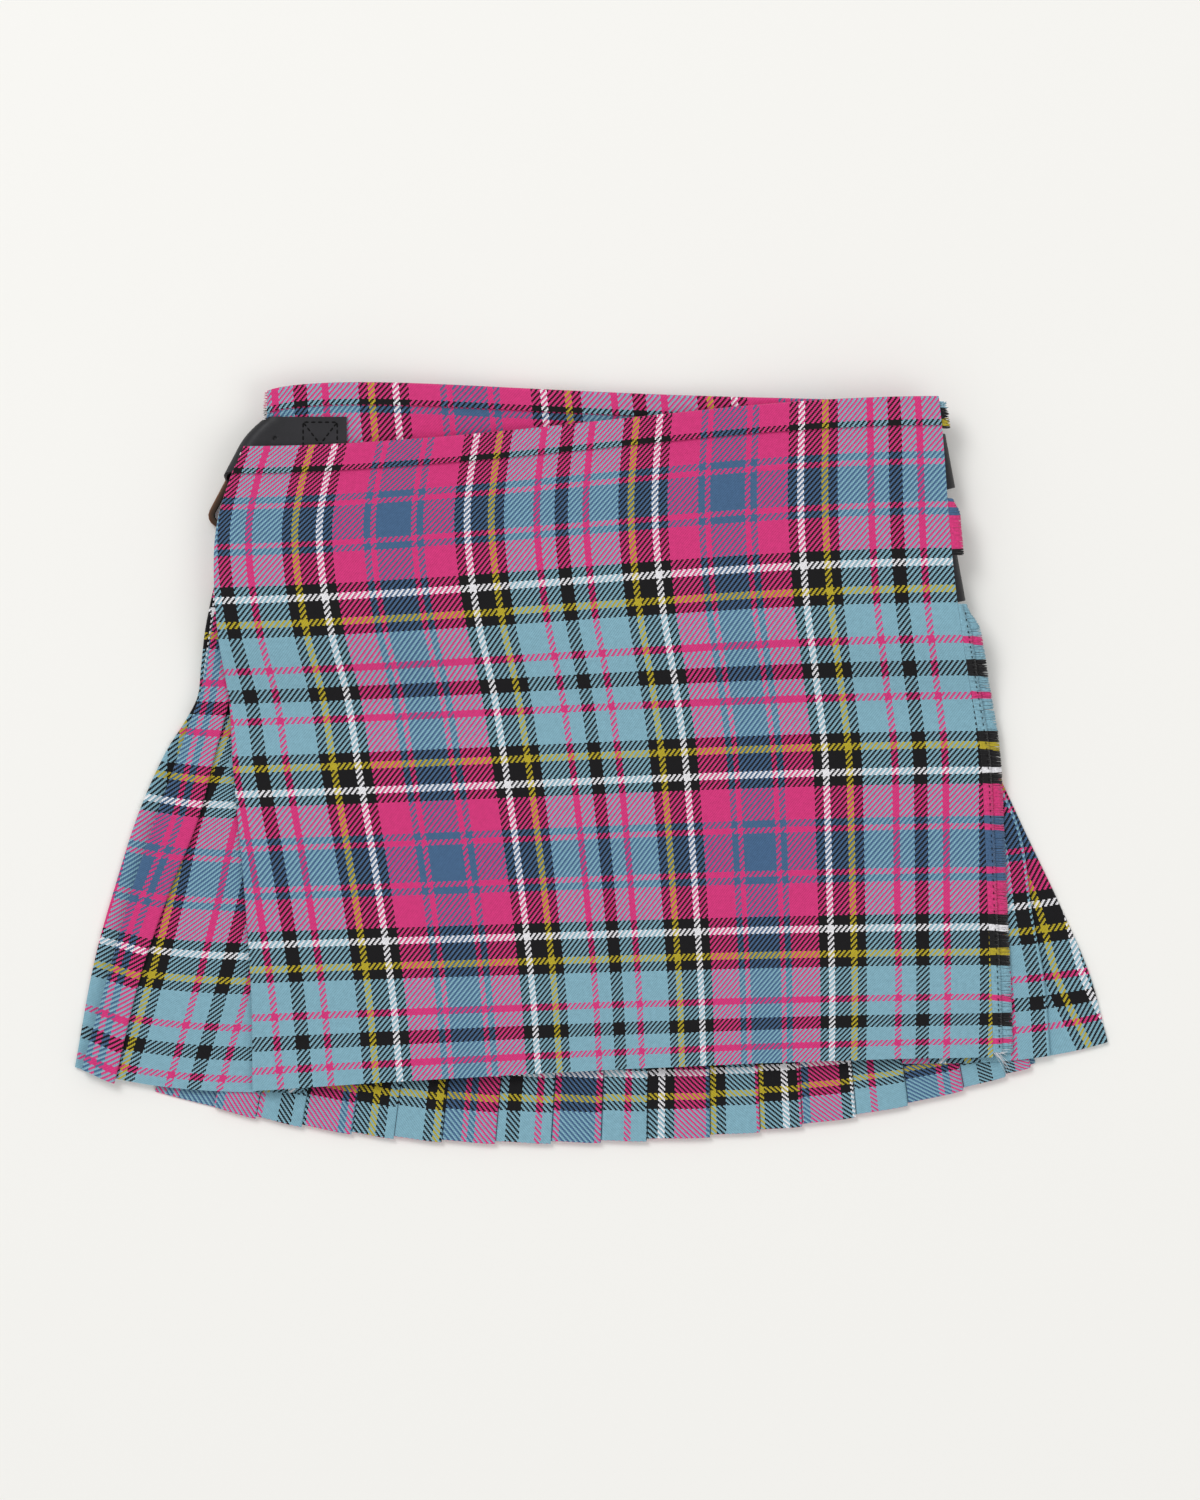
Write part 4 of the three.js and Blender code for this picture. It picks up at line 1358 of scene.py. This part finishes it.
@dataclass
class BackPleats:
    """The pleated back, whose inner side shows below the over apron's hem."""

    # The pleats' widths at the hem, left to right, and the plain margin before the first.
    widths: tuple[float, ...] = (22, 24, 26, 22, 25, 28, 29, 26, 24, 33, 26, 22, 28, 27, 29, 22, 13)
    margin: float = 30.0
    waist_y: float = 185.0
    waist_half: float = 168.0
    # The sides run straight down to here. Below, they follow the side pleats, a seam's room inside them.
    straight_to: float = 166.0
    seam: float = 0.45
    # The hem's lowest point. It rises to each side by an amount over a width, as a power.
    hem_low: tuple[float, float] = (-45.0, -197.5)
    hem_left: tuple[float, float, float] = (15.0, 139.0, 2.0)
    hem_right: tuple[float, float, float] = (12.6, 176.0, 2.6)
    # How much lower a pleat's front layer ends than its neighbour, and the layer that it lies above.
    hem_step: float = 1.4
    front_above: float = 1.5
    # The sag of the hem and the steps between pleats die out upwards, as powers.
    sag_power: int = 2
    step_power: int = 4
    # The cloth's nominal length, and where the sett starts at its top edge.
    cloth_length: float = 357.0
    weave_down: float = 78.0
    # The pleats lie a layer higher inside the waistband, from a height on and over a distance.
    lifted_from: float = 152.0
    lifted_over: float = 14.0
    band_height: float = 14.0
    band_ease: float = 2.6 * GAP
    band_columns: int = 90
    run_points: int = 6
    count: int = 46

    def __post_init__(self) -> None:
        """Work out where the sections end, from the side pleats' rows."""
        self.ends = [self.waist_ends(self.waist_y - TUCKED), self.waist_ends(self.straight_to)]
        for left_row, right_row in zip(LEFT_ROWS, RIGHT_ROWS, strict=True):
            left = SidePleats.place(left_row, left_row.join, 0)
            right = SidePleats.place(right_row, right_row.join, 0)
            share = (self.waist_y - left_row.y) / (self.waist_y - LEFT_ROWS[-1].y)
            self.ends.append(
                BackEnds(left[0] + self.seam, right[0] - self.seam, left[1], right[1], share)
            )

    def waist_ends(self, y: float) -> BackEnds:
        """Return the ends of a section above the side pleats."""
        return BackEnds(-self.waist_half, self.waist_half, y, y, 0.0)

    def ends_at(self, index: float) -> BackEnds:
        """Return the ends of a section between the given ones."""
        keys = tuple(float(i) for i in range(len(self.ends)))
        names = ("left", "right", "left_y", "right_y", "share")
        return BackEnds(*(curve(keys, tuple(getattr(e, name) for e in self.ends), index) for name in names))

    def hem_y(self, x: float) -> float:
        """Return the height of the hem at a place across the skirt."""
        low_x, low_y = self.hem_low
        rise, width, power = self.hem_left if x < low_x else self.hem_right
        return low_y + rise * (abs(x - low_x) / width) ** power

    def height(self, ends: BackEnds, x: float) -> float:
        """Return how high up the skirt a section lies at a place across it."""
        hem = self.ends[-1]
        across = (x - ends.left) / (ends.right - ends.left)
        at_hem = (x - hem.left) / (hem.right - hem.left)
        sag = mix(hem.left_y, hem.right_y, at_hem) - self.hem_y(x)
        return mix(ends.left_y, ends.right_y, across) - sag * ends.share**self.sag_power

    def section(self, index: float) -> Section:
        """Return one section across the pleats, three layers deep at each."""
        ends, hem = self.ends_at(index), self.ends[-1]
        edges, along = [], 0.0
        for width in (0.0, self.margin, *self.widths):
            along += width
            edges.append(mix(ends.left, ends.right, along / (hem.right - hem.left)))
        stops: list[Stop] = [(ends.right, 0)]
        for i in range(len(edges) - 1, 1, -1):
            inner = edges[i - 1] + LAYER
            following = inner + LAYER
            stops += [(following, 0), (following, 1), (edges[i], 1)]
            stops += [(edges[i], 2), (inner, 2), (inner, 0)]
        stops.append((ends.left, 0))

        section: Section = []
        length, last = 0.0, None
        for x, layer in folded_route(stops, self.run_points):
            pleats = range(len(edges) - 1)
            pleat = next((k for k in pleats if edges[k + 1] >= x - SAME_PLACE), pleats[-1])
            share = (x - edges[pleat]) / (edges[pleat + 1] - edges[pleat])
            is_front = layer > self.front_above
            lower = self.hem_step * smooth(share) * is_front * ends.share**self.step_power
            y = self.height(ends, x) - lower
            lifted = LAYER * smooth((y - self.lifted_from) / self.lifted_over)
            z = CLOTH / 2 + layer * LAYER + hip_lift(x, y) + lifted
            length += 0.0 if last is None else math.hypot(x - last[0], z - last[1])
            last = (x, z)
            section.append(ClothPoint(x, y, z, length, ends.share * self.cloth_length + self.weave_down))
        return section

    def sections(self) -> list[Section]:
        """Return the sections, whose lengthwise yarns run down the pleats as the hem sets them out."""
        made = [self.section(index) for index in spread(0.0, float(len(self.ends) - 1), self.count)]
        return [
            [point._replace(across=below.across) for point, below in zip(section, made[-1], strict=True)]
            for section in made
        ]

    def band_sections(self) -> list[Section]:
        """Return the waistband's sections, a strip folded over the pleats' top edge."""
        room = (BACK_TOP + self.band_ease) / 2
        half = self.waist_half + GAP
        sections = []
        for down, out in band_profile(self.band_height, room):
            section = []
            for x in spread(-half, half, self.band_columns):
                z = hip_lift(x, self.waist_y) + room + CLOTH + out
                section.append(ClothPoint(x, self.waist_y - down, z, -x, down))
            sections.append(section)
        return sections

    def build(self, finishes: Finishes) -> list[bpy.types.Object]:
        """Make and dress the pleats and their waistband."""
        return [
            cloth_piece("back_pleats", self.sections(), finishes),
            cloth_piece("back_waistband", self.band_sections(), finishes),
        ]


@dataclass
class Strap:
    """A leather strap from the front, round the skirt's side to a buckle under its back.

    heading is its direction on the front, in degrees. It folds where it crosses the line through fold_at,
    and out is the direction square to that line. front and tail are the lengths before and after the
    fold, upper and lower the heights that it lies at there.
    """

    name: str
    heading: float
    out: float
    fold_at: tuple[float, float]
    front: float
    tail: float
    upper: float
    lower: float = 5.0
    rounding: float = 0.0
    hole: tuple[float, float] | None = None
    # Nearer to the fold than this the rows lie closer together, a step away from the wider ones.
    near: float = 12.0
    step: float = 2.0
    front_rows: int = 12
    fold_rows: int = 44
    tail_rows: int = 5
    columns: int = 15
    # The hole's radius, and how deep it goes as a share of the leather.
    hole_radius: float = 1.2
    hole_depth: float = 0.8

    def placed(self, length: float, side: float) -> Vector:
        """Return where a point of the flat strap lies once the strap is folded, in mm."""
        along = Vector((math.cos(math.radians(self.heading)), math.sin(math.radians(self.heading))))
        outward = Vector((math.cos(math.radians(self.out)), math.sin(math.radians(self.out))))
        across = Vector((-along.y, along.x))
        offset = along * length + across * side
        radius = (self.upper - self.lower) / 2
        past = offset.dot(outward) + self.rounding * max(0.0, -side / (STRAP_WIDTH / 2)) ** 2
        angle = min(math.pi, max(0.0, past / radius))
        beyond = past if past < 0 else min(0.0, math.pi * radius - past)
        foot = Vector(self.fold_at) + offset + outward * (radius * math.sin(angle) + beyond - past)
        return Vector((foot.x, foot.y, self.lower + radius + radius * math.cos(angle)))

    def lengths(self) -> list[float]:
        """Return where the rows of points lie along the flat strap, from the fold."""
        turn = math.pi * (self.upper - self.lower) / 2
        end = turn + self.tail
        rows = spread(-self.front, -self.near, self.front_rows)
        rows += spread(self.step - self.near, turn + self.near, self.fold_rows)[1:]
        if self.tail > self.near + 2 * self.step:
            rows += spread(turn + self.near + self.step, end, self.tail_rows)
        else:
            rows.append(end)
        return [length for length in rows if length <= end]

    def build(self, finishes: Finishes) -> bpy.types.Object:
        """Make and dress the strap."""
        half = STRAP_WIDTH / 2
        sections = []
        for length in self.lengths():
            section = []
            for side in spread(-half, half, self.columns):
                place = self.placed(length, side)
                section.append(ClothPoint(place.x, place.y, place.z, side, length))
            sections.append(section)
        strap = cloth_sheet(f"{self.name}_leather", sections, thickness=STRAP_LEATHER)
        if self.hole:
            self.punch(strap, self.hole)
        round_edges(strap)
        dress(strap, finishes.leather)
        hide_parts(self.name)
        return strap

    def punch(self, strap: bpy.types.Object, at: tuple[float, float]) -> None:
        """Punch a buckle hole into the strap."""
        bpy.ops.object.select_all(action="DESELECT")
        bpy.ops.mesh.primitive_cylinder_add(
            vertices=24,
            radius=self.hole_radius * MM,
            # Half of the cylinder stands above the leather.
            depth=2 * self.hole_depth * STRAP_LEATHER * MM,
            location=(at[0] * MM, at[1] * MM, (self.upper + STRAP_LEATHER / 2) * MM),
        )
        punch = bpy.context.object
        apply_modifier(strap, "BOOLEAN", object=punch, operation="DIFFERENCE", solver="EXACT")
        bpy.data.objects.remove(punch)


@dataclass
class BuckleFrame:
    """A buckle's frame: a flat bar bent to a rounded rectangle, with a thinner inner bar at its left."""

    name: str
    at: tuple[float, float]
    turn: float
    width: float = 25.0
    length: float = 35.0
    bar: float = 3.4
    inner_bar: float = 2.0
    thickness: float = 2.0
    corner: float = 4.2
    base: float = 1.9
    # How far from the bar's edges a point has to lie, to count as inside or outside.
    margin: float = 0.1

    def outline(self) -> bpy.types.Object:
        """Model the flat frame at the origin, with bars of one width."""
        bpy.ops.object.select_all(action="DESELECT")
        bpy.ops.mesh.primitive_plane_add(size=1)
        frame = bpy.context.object
        frame.name = f"{self.name}_plate"
        frame.scale = (self.width * MM, self.length * MM, 1.0)
        bpy.ops.object.transform_apply(scale=True)
        bpy.ops.object.mode_set(mode="EDIT")
        bpy.ops.mesh.select_all(action="SELECT")
        bpy.ops.mesh.bevel(offset=self.corner * MM, segments=4, affect="VERTICES")
        bpy.ops.mesh.select_all(action="SELECT")
        bpy.ops.mesh.inset(thickness=self.bar * MM)
        bpy.ops.mesh.delete(type="FACE")
        bpy.ops.object.mode_set(mode="OBJECT")
        return frame

    def thin_inner_bar(self, frame: bpy.types.Object) -> None:
        """Move the opening's left edge outwards, so that the bar there is the thinner one."""
        reach = self.width / 2 - self.bar
        for vertex in frame.data.vertices:
            x, y = vertex.co.x / MM, vertex.co.y / MM
            inside = (
                abs(x) < self.width / 2 - self.margin
                and abs(y) < self.length / 2 - self.bar + self.margin
            )
            if inside and -reach - self.margin < x < 0:
                vertex.co.x -= (self.bar - self.inner_bar) * MM * smooth(-x / reach)

    def build(self, finishes: Finishes) -> bpy.types.Object:
        """Make and dress the frame."""
        frame = self.outline()
        self.thin_inner_bar(frame)
        apply_modifier(frame, "SOLIDIFY", thickness=self.thickness * MM, offset=0.0)
        round_edges(frame)
        select_only(frame)
        frame.rotation_euler.z = math.radians(self.turn)
        frame.location = (self.at[0] * MM, self.at[1] * MM, (self.base + self.thickness / 2) * MM)
        bpy.ops.object.transform_apply()
        dress(frame, finishes.bronze)
        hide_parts(self.name)
        return frame


@dataclass(frozen=True)
class Softbox:
    """A square soft light that points at the skirt. Its place and size are in metres."""

    name: str
    at: tuple[float, float, float]
    size: float
    watts: float

    def hang(self) -> None:
        """Add the light to the scene."""
        data = bpy.data.lights.new(self.name, "AREA")
        data.size = self.size
        data.energy = self.watts
        lamp = bpy.data.objects.new(self.name, data)
        lamp.location = self.at
        lamp.rotation_euler = (-Vector(self.at)).to_track_quat("-Z", "Y").to_euler()
        bpy.context.scene.collection.objects.link(lamp)


@dataclass
class Studio:
    """The pale floor, the soft lights and the camera straight above. Its sizes are in metres."""

    softboxes: tuple[Softbox, ...] = (
        Softbox("softbox_key", (-2.1, 2.6, 4.1), size=2.2, watts=116.0),
        Softbox("softbox_fill", (2.8, -1.4, 3.6), size=2.8, watts=38.0),
    )
    world_strength: float = 0.60
    floor_size: float = 8.0
    floor_drop: float = 0.0002
    # The camera looks at aim, sees view_height from top to bottom at its distance from the skirt's layers.
    aim: tuple[float, float] = (0.0045, 0.0064)
    view_height: float = 0.78
    distance: float = 3.2
    layers_height: float = 0.01
    # In millimetres, as cameras have it.
    sensor: float = 36.0

    def floor(self) -> None:
        """Lay the floor."""
        bpy.ops.object.select_all(action="DESELECT")
        bpy.ops.mesh.primitive_plane_add(size=self.floor_size, location=(0.0, 0.0, -self.floor_drop))
        floor = bpy.context.object
        floor.name = "studio_floor"
        floor.data.materials.append(PaperFloor().build())

    def world(self) -> None:
        """Light the scene evenly from all around."""
        world = bpy.data.worlds.new("studio_world")
        world.use_nodes = True
        background = world.node_tree.nodes["Background"]
        background.inputs[0].default_value = linear("FFFFFF")
        background.inputs[1].default_value = self.world_strength
        bpy.context.scene.world = world

    def camera(self) -> None:
        """Set up the camera."""
        data = bpy.data.cameras.new("camera")
        data.sensor_fit = "VERTICAL"
        data.sensor_height = self.sensor
        data.lens = self.sensor * self.distance / self.view_height
        data.clip_end = 20.0
        camera = bpy.data.objects.new("camera", data)
        camera.location = (*self.aim, self.distance + self.layers_height)
        bpy.context.scene.collection.objects.link(camera)
        bpy.context.scene.camera = camera

    def build(self) -> None:
        """Make the floor, lights, world and camera."""
        self.floor()
        for softbox in self.softboxes:
            softbox.hang()
        self.world()
        bpy.context.scene.view_settings.view_transform = "Standard"
        self.camera()


def dress_hardware(frame: dict, finishes: Finishes) -> None:
    """Give the kept prongs and leather tabs their finishes."""
    for name, node in frame["nodes"].items():
        finish = {"prong": finishes.bronze, "tab": finishes.leather}.get(name.rsplit("_", 1)[-1])
        if finish:
            node.data.materials.clear()
            node.data.materials.append(finish)


def main() -> None:
    """Build the skirt, its straps and its buckles, then the scene around it."""
    logging.basicConfig(level=logging.INFO, format="%(name)s: %(message)s")
    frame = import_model()
    finishes = Finishes.build()
    left = SidePleats("left_side_pleats", LEFT_ROWS, has_tuck=True, across=203.0, weave_down=148.0)
    right = SidePleats("right_side_pleats", RIGHT_ROWS, has_tuck=False, across=95.0, weave_down=172.0)
    pieces: list[bpy.types.Object] = [
        *OverApron().build(finishes),
        *UnderApron().build(finishes),
        left.build(finishes),
        right.build(finishes),
        *BackPleats().build(finishes),
    ]
    straps = (
        Strap(
            "inner_strap",
            heading=180.0,
            out=152.3,
            fold_at=(-175.5, 165.0),
            front=48.5,
            tail=8.0,
            upper=16.4,
            rounding=5.0,
            hole=(-164.2, 168.1),
        ),
        Strap("upper_strap", 10.5, 10.5, fold_at=(179.5, 155.5), front=30.0, tail=28.0, upper=17.7),
        Strap("lower_strap", 10.5, 10.5, fold_at=(184.9, 96.8), front=31.5, tail=26.5, upper=17.7),
    )
    pieces += [strap.build(finishes) for strap in straps]
    box = crossed_box(centre=(-140.7, 165.0), size=(17.7, 23.0), height=17.25)
    pieces.append(Stitching("inner_strap_stitching", box, Slot.LEATHER).build(finishes))
    buckles = (
        BuckleFrame("left_buckle_frame", (-181.5, 137.6), turn=152.3, length=39.3, corner=6.0),
        BuckleFrame("upper_buckle_frame", (155.9, 151.1), turn=10.5),
        BuckleFrame("lower_buckle_frame", (159.8, 92.1), turn=10.5),
    )
    pieces += [buckle.build(finishes) for buckle in buckles]
    dress_hardware(frame, finishes)
    for piece in pieces:
        LOG.info("%s: %d faces", piece.name, len(piece.data.polygons))
    Studio().build()
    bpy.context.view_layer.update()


if __name__ == "__main__":
    main()
